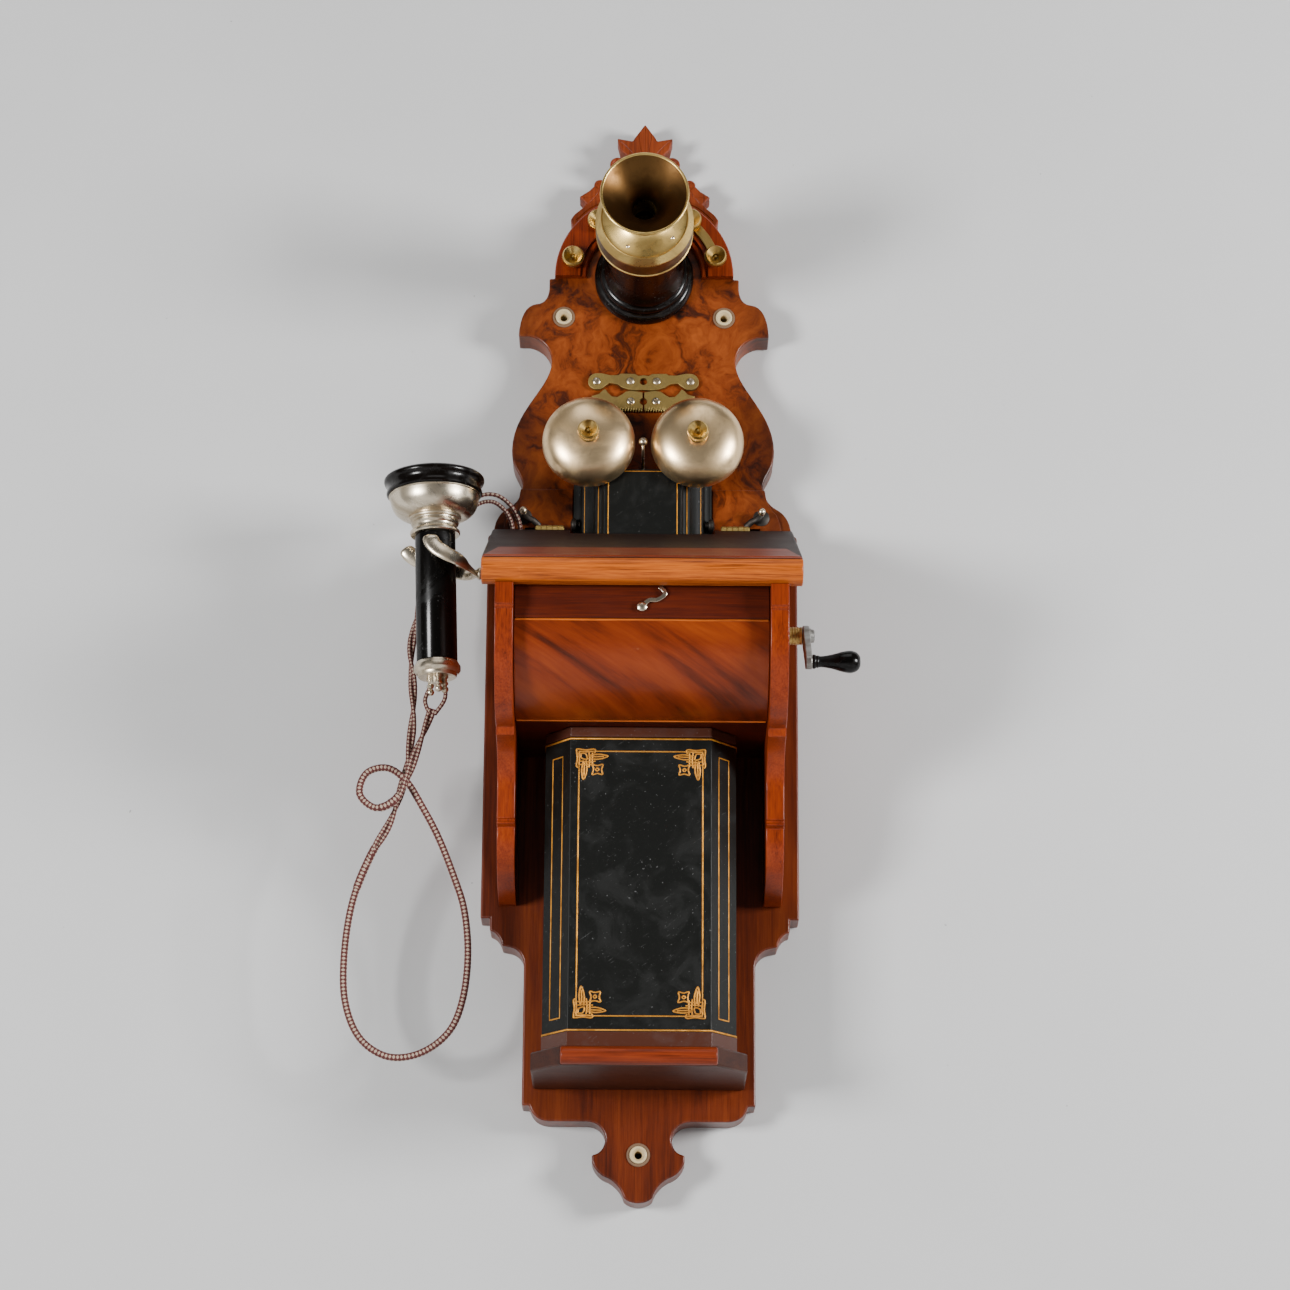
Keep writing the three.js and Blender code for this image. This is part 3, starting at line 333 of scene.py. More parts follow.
def cut(piece, *tools):
    """Takes the tools' shapes out of a piece."""
    for tool in tools:
        choose(piece)
        gone = piece.modifiers.new("Cut", "BOOLEAN")
        gone.operation = "DIFFERENCE"
        gone.solver = "EXACT"
        gone.use_self = True
        gone.object = tool
        bpy.ops.object.modifier_apply(modifier=gone.name)
        choose(tool)
        bpy.ops.object.delete()
    return level(piece)


def flipped(piece, name):
    """A copy of a piece, with its own mesh, on the other side of the middle."""
    choose(piece)
    bpy.ops.object.duplicate(linked=False)
    twin = made(name)
    edit(twin)
    bpy.ops.transform.resize(value=(-1, 1, 1), center_override=(0, 0, 0))
    finish_edit()
    return twin


def hang(piece, body, finish, slot, *nodes):
    """Gives a piece its finish and the body it moves with, and hides the frame nodes it stands for. Its slot
    is not used.
    """
    piece.data.materials.clear()
    piece.data.materials.append(finish)
    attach(piece, body)
    if nodes:
        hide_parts(*nodes)
    return piece


# ---- finishes ----------------------------------------------------------------------------------


class Sock:
    """A node's output that can take part in a sum."""

    def __init__(self, finish, port):
        self.finish = finish
        self.port = port

    def __add__(self, other):
        return self.finish.sum("ADD", self, other)

    def __sub__(self, other):
        return self.finish.sum("SUBTRACT", self, other)

    def __rsub__(self, other):
        return self.finish.sum("SUBTRACT", other, self)

    def __mul__(self, other):
        return self.finish.sum("MULTIPLY", self, other)

    def __truediv__(self, other):
        return self.finish.sum("DIVIDE", self, other)

    __radd__ = __add__
    __rmul__ = __mul__


class Finish:
    """A material whose pattern is worked out from the place on the piece."""

    def __init__(self, name, coat=0.0, coat_rough=0.1, metallic=0.0, specular=0.5):
        self.material = bpy.data.materials.new(name)
        self.material.use_nodes = True
        self.nodes = self.material.node_tree.nodes
        self.links = self.material.node_tree.links
        self.nodes.clear()
        self.shader = self.nodes.new("ShaderNodeBsdfPrincipled")
        self.shader.inputs["Coat Weight"].default_value = coat
        self.shader.inputs["Coat Roughness"].default_value = coat_rough
        self.shader.inputs["Metallic"].default_value = metallic
        self.shader.inputs["Specular IOR Level"].default_value = specular
        output = self.nodes.new("ShaderNodeOutputMaterial")
        self.links.new(self.shader.outputs["BSDF"], output.inputs["Surface"])
        self.place = self.node("ShaderNodeTexCoord", out="Object")

    def node(self, kind, settings=None, values=None, out=0):
        """Adds a node, sets it, and plugs in or sets its sockets."""
        node = self.nodes.new(kind)
        for key, value in (settings or {}).items():
            if key == "stops":
                while len(node.color_ramp.elements) < len(value):
                    node.color_ramp.elements.new(1)
                for stop, (position, colour) in zip(node.color_ramp.elements, value):
                    stop.position = position
                    stop.color = (*colour, 1)
            else:
                setattr(node, key, value)
        for key, value in (values or {}).items():
            if isinstance(value, Sock):
                self.links.new(value.port, node.inputs[key])
            else:
                node.inputs[key].default_value = value
        return Sock(self, node.outputs[out])

    def sum(self, operation, a, b):
        return self.node("ShaderNodeMath", {"operation": operation}, {0: a, 1: b})

    def axis(self, letter):
        return self.node("ShaderNodeSeparateXYZ", None, {0: self.place}, out=letter)

    def stretched(self, scale, turn=(0, 0, 0), vector=None):
        """The place, turned and then scaled for a pattern."""
        vector = vector or self.place
        if any(turn):
            turned = [math.radians(a) for a in turn]
            vector = self.node("ShaderNodeMapping", None, {"Vector": vector, "Rotation": turned})
        return self.node("ShaderNodeMapping", None, {"Vector": vector, "Scale": scale})

    def noise(self, vector, scale=1.0, detail=5.0, rough=0.55, bent=0.0, out=0):
        values = {"Vector": vector, "Scale": scale, "Detail": detail, "Roughness": rough, "Distortion": bent}
        return self.node("ShaderNodeTexNoise", None, values, out)

    def ramp(self, factor, *stops):
        return self.node("ShaderNodeValToRGB", {"stops": stops}, {"Fac": factor})

    def step(self, value, low, high):
        """0 below low, 1 above high, and smooth between."""
        settings = {"interpolation_type": "SMOOTHSTEP", "clamp": True}
        return self.node("ShaderNodeMapRange", settings, {"Value": value, "From Min": low, "From Max": high})

    def mix(self, factor, a, b):
        """Colour a where the factor is 0, and b where it is 1."""
        values = {0: factor}
        for key, colour in ((6, a), (7, b)):
            values[key] = colour if isinstance(colour, Sock) else (*colour, 1)
        return self.node("ShaderNodeMix", {"data_type": "RGBA"}, values, out=2)

    def bump(self, height, distance, strength=1.0):
        values = {"Height": height, "Distance": distance, "Strength": strength}
        return self.node("ShaderNodeBump", None, values)

    def done(self, **sockets):
        for name, value in sockets.items():
            port = self.shader.inputs[name.replace("_", " ").title()]
            if isinstance(value, Sock):
                self.links.new(value.port, port)
            else:
                port.default_value = value
        return self.material


def wood(name, dark, mid, light, along, figure=0.35, gloss=0.34, coat=0.35):
    """Polished wood with its grain along one axis: broad figure, fine lines, pores and old scuffs."""
    finish = Finish(name, coat=coat, coat_rough=0.16, specular=0.2)
    fine = [900, 900, 900]
    fine["XYZ".index(along)] = 28
    broad = [60, 60, 60]
    broad["XYZ".index(along)] = 7
    lines = finish.noise(finish.stretched(fine), detail=4, rough=0.7)
    clouds = finish.noise(finish.stretched(broad), detail=5, rough=0.6, bent=0.8)
    tone = clouds * figure + lines * (1 - figure) * 0.75 + 0.06
    colour = finish.ramp(tone, (0.34, dark), (0.5, mid), (0.68, light))
    pores = finish.step(lines, 0.62, 0.75)
    worn = finish.step(finish.noise(finish.place, 70, 6, 0.75), 0.62, 0.74)
    colour = finish.mix(worn * 0.35, colour, light)
    colour = finish.mix(pores * 0.45, colour, dark)
    smear = finish.noise(finish.place, 24, 4, 0.6)
    height = finish.bump(lines, 0.00012, 0.5)
    return finish.done(base_color=colour, roughness=gloss + smear * 0.18 + worn * 0.15, normal=height)


def burl(name):
    """Burl veneer: a swirling dark figure, plainer low on the board, with the board's dark cut edge."""
    finish = Finish(name, coat=0.08, coat_rough=0.14, specular=0.25)
    swirl = finish.noise(finish.place, 26, 3, 0.5, out="Color")
    push = {0: swirl, 1: (0.05, 0.05, 0.05), 2: finish.place}
    pushed = finish.node("ShaderNodeVectorMath", {"operation": "MULTIPLY_ADD"}, push)
    figure = finish.noise(finish.stretched((34, 34, 24), vector=pushed), detail=7, rough=0.62, bent=1.1)
    veins = finish.noise(finish.stretched((120, 120, 90), vector=pushed), detail=5, rough=0.7, bent=0.6)
    tone = figure * 0.72 + veins * 0.28
    swirled = finish.ramp(
        tone,
        (0.34, (0.006, 0.0015, 0.0006)),
        (0.41, (0.05, 0.0085, 0.0015)),
        (0.48, (0.15, 0.026, 0.003)),
        (0.64, (0.27, 0.058, 0.007)),
    )
    edges = finish.step(finish.sum("ABSOLUTE", finish.axis("X"), 0), 0.055, 0.1)
    swirled = finish.mix(edges * 0.6, swirled, (0.022, 0.005, 0.002))
    lines = finish.noise(finish.stretched((700, 700, 22)), detail=4, rough=0.7)
    bands = finish.noise(finish.stretched((45, 45, 5)), detail=4, rough=0.6, bent=0.6)
    plain = finish.ramp(
        lines * 0.45 + bands * 0.55,
        (0.36, (0.04, 0.0055, 0.001)),
        (0.5, (0.095, 0.0135, 0.0025)),
        (0.66, (0.16, 0.028, 0.005)),
    )
    low = 1 - finish.step(finish.axis("Z"), 0.1, 0.114)
    colour = finish.mix(low, swirled, plain)
    scratched = finish.step(finish.noise(finish.stretched((40, 40, 130)), detail=8, rough=0.8), 0.64, 0.74)
    colour = finish.mix(scratched * 0.3, colour, (0.34, 0.1, 0.03))
    cut_edge = finish.step(finish.axis("Y"), (BOARD_FACE + 0.5) * MM, (BOARD_FACE + 1.5) * MM)
    colour = finish.mix(cut_edge * 0.92, colour, (0.008, 0.005, 0.003))
    height = finish.bump(veins, 0.0002, 0.4)
    return finish.done(base_color=colour, roughness=0.32 + scratched * 0.25 + veins * 0.12, normal=height)


def veneer(name):
    """The bow's veneer: broad bands that run down to the right, with dark streaks between them."""
    finish = Finish(name, coat=0.1, coat_rough=0.14, specular=0.25)
    sway = finish.noise(finish.place, 9, 3, 0.5)
    turned = finish.stretched((9, 9, 62), turn=(0, -30, 0))
    bands = finish.noise(turned, detail=4, rough=0.5, bent=0.7)
    lines = finish.noise(finish.stretched((30, 30, 420), turn=(0, -30, 0)), detail=4, rough=0.65, bent=0.3)
    tone = bands * 0.66 + lines * 0.2 + sway * 0.14
    colour = finish.ramp(
        tone,
        (0.33, (0.03, 0.0045, 0.0006)),
        (0.4, (0.09, 0.011, 0.001)),
        (0.48, (0.15, 0.019, 0.0018)),
        (0.68, (0.25, 0.042, 0.0045)),
    )
    scuffs = finish.step(finish.noise(finish.stretched((60, 60, 160)), detail=8, rough=0.8), 0.66, 0.76)
    colour = finish.mix(scuffs * 0.35, colour, (0.4, 0.17, 0.07))
    height = finish.bump(lines, 0.0001, 0.4)
    return finish.done(base_color=colour, roughness=0.3 + scuffs * 0.3 + sway * 0.1, normal=height)


def metal(name, bright, dull, rough=0.3, spots=0.5, scale=45):
    """Old polished metal: dull patches, darker specks and fine wiping marks."""
    finish = Finish(name, metallic=1.0)
    clouds = finish.noise(finish.place, scale, 6, 0.62, 0.6)
    specks = finish.step(finish.noise(finish.place, scale * 14, 3, 0.6), 0.62, 0.72)
    marks = finish.noise(finish.stretched((300, 300, 2600), turn=(0, 20, 0)), detail=3, rough=0.6)
    patches = finish.step(clouds, 0.42, 0.66)
    colour = finish.mix(patches * spots, bright, dull)
    colour = finish.mix(specks * 0.35, colour, dull)
    height = finish.bump(marks, 0.00004, 0.4)
    roughness = rough + patches * 0.16 + marks * 0.08
    return finish.done(base_color=colour, roughness=roughness, normal=height)


def varnish(name, colour, rough=0.25, dust=0.2, coat=0.3):
    """Black japan, ebonite or glazed stuff: an even colour with dusty clouds, specks and hair scratches."""
    finish = Finish(name, coat=coat, coat_rough=0.12, specular=0.2)
    clouds = finish.step(finish.noise(finish.place, 32, 7, 0.68, 0.9), 0.46, 0.72)
    specks = finish.step(finish.noise(finish.place, 700, 2, 0.5), 0.7, 0.76)
    hairs = finish.step(finish.noise(finish.stretched((90, 90, 1400), turn=(0, 35, 0)), detail=3), 0.68, 0.75)
    pale = tuple(0.5 * c + 0.035 for c in colour)
    shade = finish.mix(clouds * dust, colour, pale)
    shade = finish.mix(specks * 0.5 + hairs * 0.25, shade, tuple(c + 0.12 for c in pale))
    return finish.done(base_color=shade, roughness=rough + clouds * 0.3 + hairs * 0.1)


def braid(name):
    """Cotton braid of red brown and cream threads, crossing on the cord's own map."""
    finish = Finish(name)
    uv = finish.node("ShaderNodeTexCoord", out="UV")
    along = finish.node("ShaderNodeSeparateXYZ", None, {0: uv}, out="X")
    round_ = finish.node("ShaderNodeSeparateXYZ", None, {0: uv}, out="Y")
    one = finish.sum("SINE", (along / 5.2 + round_ * 2) * (2 * math.pi), 0)
    other = finish.sum("SINE", (along / 5.2 - round_ * 2) * (2 * math.pi), 0)
    crossing = one * other
    light = finish.step(crossing, 0.05, 0.3)
    thread = finish.noise(finish.place, 2500, 2, 0.6)
    colour = finish.mix(light * 0.9, (0.085, 0.014, 0.012), (0.5, 0.38, 0.29))
    colour = finish.mix(thread * 0.25, colour, (0.04, 0.012, 0.01))
    height = finish.bump(finish.sum("ABSOLUTE", crossing, 0) + thread * 0.4, 0.0004, 0.8)
    return finish.done(base_color=colour, roughness=0.75 + thread * 0.2, normal=height)


def winding(name, tone, dark, axis):
    """Close turns of silk covered wire, with painted shade in the grooves between the turns."""
    finish = Finish(name)
    turns = finish.sum("SINE", finish.axis(axis) * (2 * math.pi / 0.0011), 0)
    fade = finish.noise(finish.place, 60, 4, 0.6)
    # painted shade: where groove is 0, in the narrow trough between turns, the colour is the dark one; on the
    # turns the noise gives the silk an uneven tone
    groove = finish.step(turns, -0.9, 0.2)
    colour = finish.mix(groove * (0.6 + fade * 0.6), dark, tone)
    return finish.done(base_color=colour, roughness=0.5 + fade * 0.25, normal=finish.bump(turns, 0.0002, 0.6))


BURL = burl("Burl walnut")
RED = wood(
    "Red walnut", (0.07, 0.007, 0.001), (0.2, 0.024, 0.003), (0.3, 0.048, 0.006), "Z", gloss=0.26, coat=0.12
)
RED_ACROSS = wood(
    "Red walnut across", (0.05, 0.006, 0.001), (0.17, 0.021, 0.003), (0.28, 0.045, 0.006), "X", coat=0.08
)
LEDGE = wood(
    "Brown ledge walnut", (0.012, 0.0025, 0.001), (0.036, 0.008, 0.0025), (0.07, 0.018, 0.006), "X", coat=0.05
)
RAIL = wood(
    "Dark rail walnut", (0.02, 0.0025, 0.0006), (0.06, 0.0065, 0.001), (0.11, 0.014, 0.002), "X", coat=0.04
)
DESK = wood(
    "Dark desk walnut", (0.005, 0.0017, 0.001), (0.014, 0.004, 0.002), (0.034, 0.009, 0.004), "X",
    gloss=0.42, coat=0.0,
)
OAK = wood(
    "Orange oak", (0.09, 0.014, 0.001), (0.42, 0.088, 0.006), (0.62, 0.16, 0.015), "X", figure=0.22, coat=0.1
)
CARVED = wood(
    "Carved mahogany", (0.06, 0.009, 0.002), (0.19, 0.03, 0.005), (0.28, 0.058, 0.01), "Z",
    gloss=0.4, coat=0.03,
)
VENEER = veneer("Bow veneer")
BRASS = metal("Old brass", (0.72, 0.5, 0.17), (0.32, 0.2, 0.06), 0.24, 0.7)
BRASS_DULL = metal("Dull brass", (0.46, 0.33, 0.11), (0.2, 0.135, 0.05), 0.4, 0.8)
BROWNED = metal("Browned brass", (0.2, 0.115, 0.05), (0.07, 0.035, 0.014), 0.3, 0.8)
BELL = metal("Bell bronze", (0.86, 0.63, 0.36), (0.52, 0.36, 0.18), 0.27, 0.75, 30)
NICKEL = metal("Worn nickel", (0.72, 0.63, 0.49), (0.36, 0.28, 0.18), 0.2, 0.65)
STEEL = metal("Grey steel", (0.36, 0.35, 0.33), (0.12, 0.1, 0.08), 0.34, 0.7)
IRON = metal("Black iron", (0.06, 0.055, 0.05), (0.03, 0.02, 0.015), 0.42, 0.6)
ZINC = metal("Zinc", (0.4, 0.42, 0.43), (0.2, 0.21, 0.21), 0.5, 0.8, 30)
JAPAN = varnish("Black japan", (0.0042, 0.0045, 0.0038), 0.42, 0.1, 0.0)
EBONITE = varnish("Ebonite", (0.0022, 0.0018, 0.0014), 0.18, 0.03, 0.05)
STAINED = varnish("Stained pear wood", (0.0022, 0.0011, 0.0006), 0.2, 0.03, 0.12)
LINING = metal("Darkened brass", (0.11, 0.055, 0.018), (0.045, 0.02, 0.007), 0.3, 0.6)
WASHER = varnish("Worn washer", (0.16, 0.095, 0.055), 0.6, 0.4, 0.0)
IVORY = varnish("Glazed ceramic", (0.56, 0.44, 0.25), 0.3, 0.4, 0.3)
GILT = metal("Gilt paint", (0.66, 0.31, 0.05), (0.42, 0.19, 0.035), 0.55, 0.8, 120)
PLINTH = varnish("Brown japan", (0.06, 0.018, 0.01), 0.35, 0.3, 0.2)
BRAID = braid("Cotton braid")
WOUND_X = winding("Wound silk across", (0.12, 0.22, 0.1), (0.03, 0.05, 0.02), "X")
WOUND_Z = winding("Wound silk upright", (0.32, 0.09, 0.04), (0.07, 0.02, 0.01), "Z")


# ---- camera and cord ---------------------------------------------------------------------------

VIEW_PLACE = (0, -2.4223, -0.7019)  # metres
VIEW_RISE = 17  # degrees, as the roll is
VIEW_ROLL = 0.39
VIEW_LENS = 100.47
VIEW_SHIFT = 0.00256


def camera():
    bpy.ops.object.camera_add()
    eye = bpy.context.object
    eye.data.lens = VIEW_LENS
    eye.data.sensor_width = 36
    eye.data.shift_x = VIEW_SHIFT
    eye.data.clip_end = 50
    rise = Matrix.Rotation(math.radians(90 + VIEW_RISE), 4, "X")
    roll = Matrix.Rotation(math.radians(VIEW_ROLL), 4, "Z")
    eye.matrix_world = Matrix.Translation(VIEW_PLACE) @ rise @ roll
    bpy.context.scene.camera = eye


CORD_ROUTE = [
    (-88, 4, 112), (-90, 9, 120), (-95, 14, 127), (-104, 18, 132), (-115, 19, 130), (-128, 21, 118),
    (-140, 25, 95), (-149, 30, 68), (-155, 35, 38), (-158, 38, 13), (-156, 42, -10), (-155, 45, -34),
    (-157, 44, -59), (-161, 42, -82), (-169, 39, -107), (-182, 35, -130), (-193, 31, -159),
    (-198, 27, -193), (-197, 25, -226), (-187, 24, -251), (-168, 24, -264), (-146, 25, -262),
    (-127, 27, -248), (-118, 28, -226), (-115, 31, -196), (-118, 34, -166), (-126, 37, -142),
    (-136, 41, -118), (-147, 45, -98), (-158, 48, -81), (-171, 49, -72), (-185, 50, -76),
    (-189, 52, -91), (-178, 54, -101), (-165, 56, -96), (-157, 58, -81), (-151, 60, -63),
    (-145, 61, -46), (-141, 62, -34),
]
CORD_DIAMETER = 4.8
STRAND_RADIUS = CORD_DIAMETER * 0.32
PARTED_ENDS = 5  # the route point up to which the two strands lie apart
PAIR_ENDS = 15  # the two strands share one braid from this route point
PAIR_STARTS = 34  # to this one
CORD_FOLLOWS_OUT = (46, 61.5)  # distances out from the board for where the cord would begin to follow the receiver, and wholly; cord() only passes them to at() and does not use the result


def cord():
    """Two braided strands that share one braid through the hanging loop."""
    steps = 8
    line = [at(*p) for p in smooth(CORD_ROUTE, steps)]
    parted = line[: PARTED_ENDS * steps]
    first = line[PARTED_ENDS * steps - 1 : PAIR_ENDS * steps + 3]
    main = line[PAIR_ENDS * steps : PAIR_STARTS * steps + 1]
    last = line[PAIR_STARTS * steps - 2 :]
    strands = [tube("strand", main, CORD_DIAMETER / 2, 14)]
    for stretch, twist, gap in ((parted, 0.02, 1.75), (first, 0.09, 1), (last, 0.09, 1)):
        for lead in (STRAND_RADIUS, -STRAND_RADIUS):
            strands.append(tube("strand", stretch, STRAND_RADIUS, 10, twist=twist, lead=lead * gap))
    for end in (first[-1], last[0]):
        near = min(range(len(line)), key=lambda i: (line[i] - end).length)
        strands.append(tube("strand", line[near - 4 : near + 5], CORD_DIAMETER / 2 + 0.4, 14))
    whole = join("cord_braid", *strands)
    whole.data.materials.clear()
    whole.data.materials.append(BRAID)
    at(0, CORD_FOLLOWS_OUT[0], 0)
    at(0, CORD_FOLLOWS_OUT[1], 0)
    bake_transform(whole)
    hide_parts("cord")


# ---- backboard ---------------------------------------------------------------------------------

board = span("backboard")
ring = span("arch_ring")
ARCH_Z = ring.low
ARCH_RADIUS = ring.right
RING_INNER = ARCH_RADIUS - 23
SHOULDER = ARCH_RADIUS + 4
VASE_Z = 175
VASE_HALF = 92.8
MAIN_TOP = 110
MAIN_BOTTOM = -164
FOOT_HALF = span("battery_cover").right + 14.4
FOOT_BOTTOM = span("battery_ledge").low - 10.7
BUSH_PLACES = [(-57.3, ARCH_Z - 30), (57.3, ARCH_Z - 30), (0, board.low + 32)]


def board_half():
    """The right half of the board's outline, from the top of the arch down to the tip."""
    half = board.right
    edge = arc((0, ARCH_Z), ARCH_RADIUS, 90, 0, 28)
    edge += [(SHOULDER, ARCH_Z), (SHOULDER, ARCH_Z - 8)]

    def turn(*points, steps=8):
        edge.extend(bend([edge[-1], *points], steps))

    turn((SHOULDER + 1, ARCH_Z - 19), (SHOULDER + 9, ARCH_Z - 19.5))
    turn((SHOULDER + 20.5, ARCH_Z - 21), (SHOULDER + 21.5, ARCH_Z - 44.5))
    edge.append((SHOULDER + 14, ARCH_Z - 44.5))
    turn((SHOULDER - 1, ARCH_Z - 48), (SHOULDER - 2.5, ARCH_Z - 64))
    turn((SHOULDER - 2, VASE_Z + 47), (VASE_HALF, VASE_Z + 30), (VASE_HALF, VASE_Z), steps=14)
    turn((VASE_HALF, VASE_Z - 15), (VASE_HALF - 7, VASE_Z - 17), (VASE_HALF - 8, MAIN_TOP + 38), steps=10)
    turn((VASE_HALF - 7, MAIN_TOP + 27), (VASE_HALF + 1, MAIN_TOP + 22))
    turn((half - 5, MAIN_TOP + 17), (half - 4, MAIN_TOP + 4))
    edge.extend([(half, MAIN_TOP), (half, MAIN_BOTTOM), (half - 6.5, MAIN_BOTTOM)])
    edge.append((half - 6.5, MAIN_BOTTOM - 8.5))
    turn((FOOT_HALF + 17, MAIN_BOTTOM - 10), (FOOT_HALF + 15, MAIN_BOTTOM - 19), steps=5)
    edge.append((FOOT_HALF + 9.5, MAIN_BOTTOM - 20))
    turn((FOOT_HALF + 1, MAIN_BOTTOM - 22), (FOOT_HALF, MAIN_BOTTOM - 32), steps=6)
    edge.extend([(FOOT_HALF, FOOT_BOTTOM), (FOOT_HALF - 5, FOOT_BOTTOM)])
    turn((FOOT_HALF - 8, FOOT_BOTTOM - 10), (FOOT_HALF - 18, FOOT_BOTTOM - 10.5))
    edge.append((35, FOOT_BOTTOM - 10.5))
    turn((24, FOOT_BOTTOM - 11), (22, FOOT_BOTTOM - 22))
    turn((23, board.low + 33), (31, board.low + 32))
    edge.append((31, board.low + 27.5))
    turn((28, board.low + 19), (20, board.low + 16.5))
    turn((12, board.low + 12), (9.5, board.low + 3.5))
    turn((6, board.low), (0, board.low))
    return edge


def backboard():
    plank = front_slab("board", mirrored(board_half()), board.back, board.front, 1.1)
    holes = [
        lathe("hole", [(0, board.back - 2), (5.7, board.back - 2), (5.7, 2), (0, 2)], at(x, 0, z), steps=32)
        for x, z in BUSH_PLACES
    ]
    hang(cut(plank, *holes), "root", BURL, "walnut", "backboard")
    right = [(49, MAIN_TOP - 2), (49, MAIN_TOP + 35), (86, MAIN_TOP + 35), (87, MAIN_TOP + 29)]
    right += bend([right[-1], (89, MAIN_TOP + 22), (94, MAIN_TOP + 17)], 5)
    right += bend([right[-1], (98, MAIN_TOP + 10), (98, MAIN_TOP - 2)], 5)
    neck = front_slab("neck_block_right", right, 0.05, 2.0, 0.6)
    hang(neck, "root", BURL, "walnut")
    hang(flipped(neck, "neck_block_left"), "root", BURL, "walnut")


def wall_bushes():
    profile = eased([(2.6, -25), (5, -25), (5, 0.3), (6, 0.3), (5.8, 2), (4.4, 2.2), (2.6, -0.6)], 0.5)
    washer = eased([(6.1, 0.1), (8, 0.1), (7.8, 0.9), (6.1, 1.1)], 0.25)
    for i, (x, z) in enumerate(BUSH_PLACES, 1):
        bush = lathe(f"bush_{i}", profile, at(x, 0, z), steps=40)
        hang(bush, "root", IVORY, "ivory", f"wall_bush_{i}")
        hang(lathe(f"bush_washer_{i}", washer, at(x, 0, z), steps=40), "root", WASHER, "ivory")


def arch():
    r = RING_INNER
    profile = [
        (r, 0.3), (r, 3.4), (r + 1, 4.6), (r + 2.6, 4.9), (r + 3.6, 4.2), (r + 3.8, 3), (r + 4.6, 3),
        (r + 4.9, 6.3), (ARCH_RADIUS - 0.8, 6.3), (ARCH_RADIUS, 5.5), (ARCH_RADIUS, 0.3),
    ]
    band = lathe("arch_moulding", profile, at(0, 0, ARCH_Z), steps=72, sweep=-180)
    hang(band, "root", RED, "walnut", "arch_ring")


CREST_EDGE = [
    (0, 1), (3.9, 0.82), (4.6, 0.78), (10.2, 0.84), (9.9, 0.68), (7.9, 0.6), (9.4, 0.55), (8.9, 0.38),
    (12.4, 0.234), (16, 0.18), (20.1, 0.21), (23, 0.35), (29.6, 0.29), (35.7, 0.287), (35.1, 0.161),
    (38, 0.145), (44, 0.145), (48, 0.13), (52.1, 0),
]
CREST_DISCS = [(12.2, 0.5, 0.092), (23.3, 0.3, 0.071)]
CREST_VEINS = [
    [(0, 0.94), (0.2, 0.6), (0, 0.36)],
    [(9.4, 0.8), (6, 0.66), (3, 0.5), (1.2, 0.33)],
    [(2.4, 0.86), (1.8, 0.7), (1.4, 0.52)],
    [(1.6, 0.22), (4, 0.32), (7, 0.3), (8.6, 0.2), (7, 0.13), (5, 0.16), (5.4, 0.22)],
    [(10, 0.16), (15, 0.1), (22, 0.14), (30, 0.2), (34, 0.24)],
    [(12, 0.07), (22, 0.06), (34, 0.08), (46, 0.07)],
    [(24, 0.27), (27, 0.2), (33, 0.15)],
]


def crest():
    """The carved crest. Its outline is an angle from upright and a share of the rise above the arch."""
    reach = span("crest")
    seat = ARCH_RADIUS + 0.3
    rise = reach.high - ARCH_Z - seat

    def place(degrees, share):
        a = math.radians(degrees)
        r = seat + share * rise
        return r * math.sin(a), ARCH_Z + r * math.cos(a)

    edge = [place(*p) for p in CREST_EDGE]
    under = [place(CREST_EDGE[-1][0] * (1 - i / 24), 0) for i in range(1, 24)] + [place(0, 0)]
    outline = edge + under
    outline += [(-x, z) for x, z in reversed(under[:-1])] + [(-x, z) for x, z in reversed(edge[1:])]
    body = front_slab("crest_carving", outline, reach.back, reach.front, 1.1)
    grooves = []
    for hand in (1, -1):
        for vein in CREST_VEINS:
            line = smooth([(hand * x, z) for x, z in (place(*p) for p in vein)], 5)
            grooves.append([at(x, reach.front + 0.1, z) for x, z in line])
    cut(body, wires("groove", grooves, 0.55))
    discs = []
    for degrees, share, size in CREST_DISCS:
        r = size * rise
        profile = [(0, 0), (r, 0), (r, 15.2), (r - 0.8, 16), (r * 0.72, 16), (r * 0.55, 15.2)]
        profile += [(r * 0.36, 15.4), (r * 0.2, 16.3), (0, 16.5)]
        for hand in (1, -1):
            x, z = place(degrees, share)
            discs.append(lathe("volute", profile, at(hand * x, reach.back, z), steps=40))
    hang(join("crest_carving", body, *discs), "crest", CARVED, "mahogany", "crest")


# ---- transmitter -------------------------------------------------------------------------------


def transmitter_pillar():
    base = span("transmitter_stem").right
    top = span("transmitter_cup").back - 0.3
    stem = [(0, 0.3), (base - 0.6, 0.3), (base, 1)]
    stem += bend([stem[-1], (base + 0.3, 7), (base - 3.4, 8.6)], 8)
    stem += [(base - 4, 9.4), (base - 3.9, 11)]
    stem += bend([stem[-1], (base - 3.8, 14.6), (base - 6.6, 15.4)], 6)
    stem += [(base - 7, 16), (base - 6.9, 17.4)]
    stem += bend([stem[-1], (base - 7.4, 22), (25, 24), (25, 32)], 10)
    stem += [(25, top), (0, top)]
    pillar = lathe("transmitter_pillar", stem, at(0, 0, ARCH_Z), steps=96)
    hang(pillar, "root", STAINED, "ebonised", "transmitter_stem")


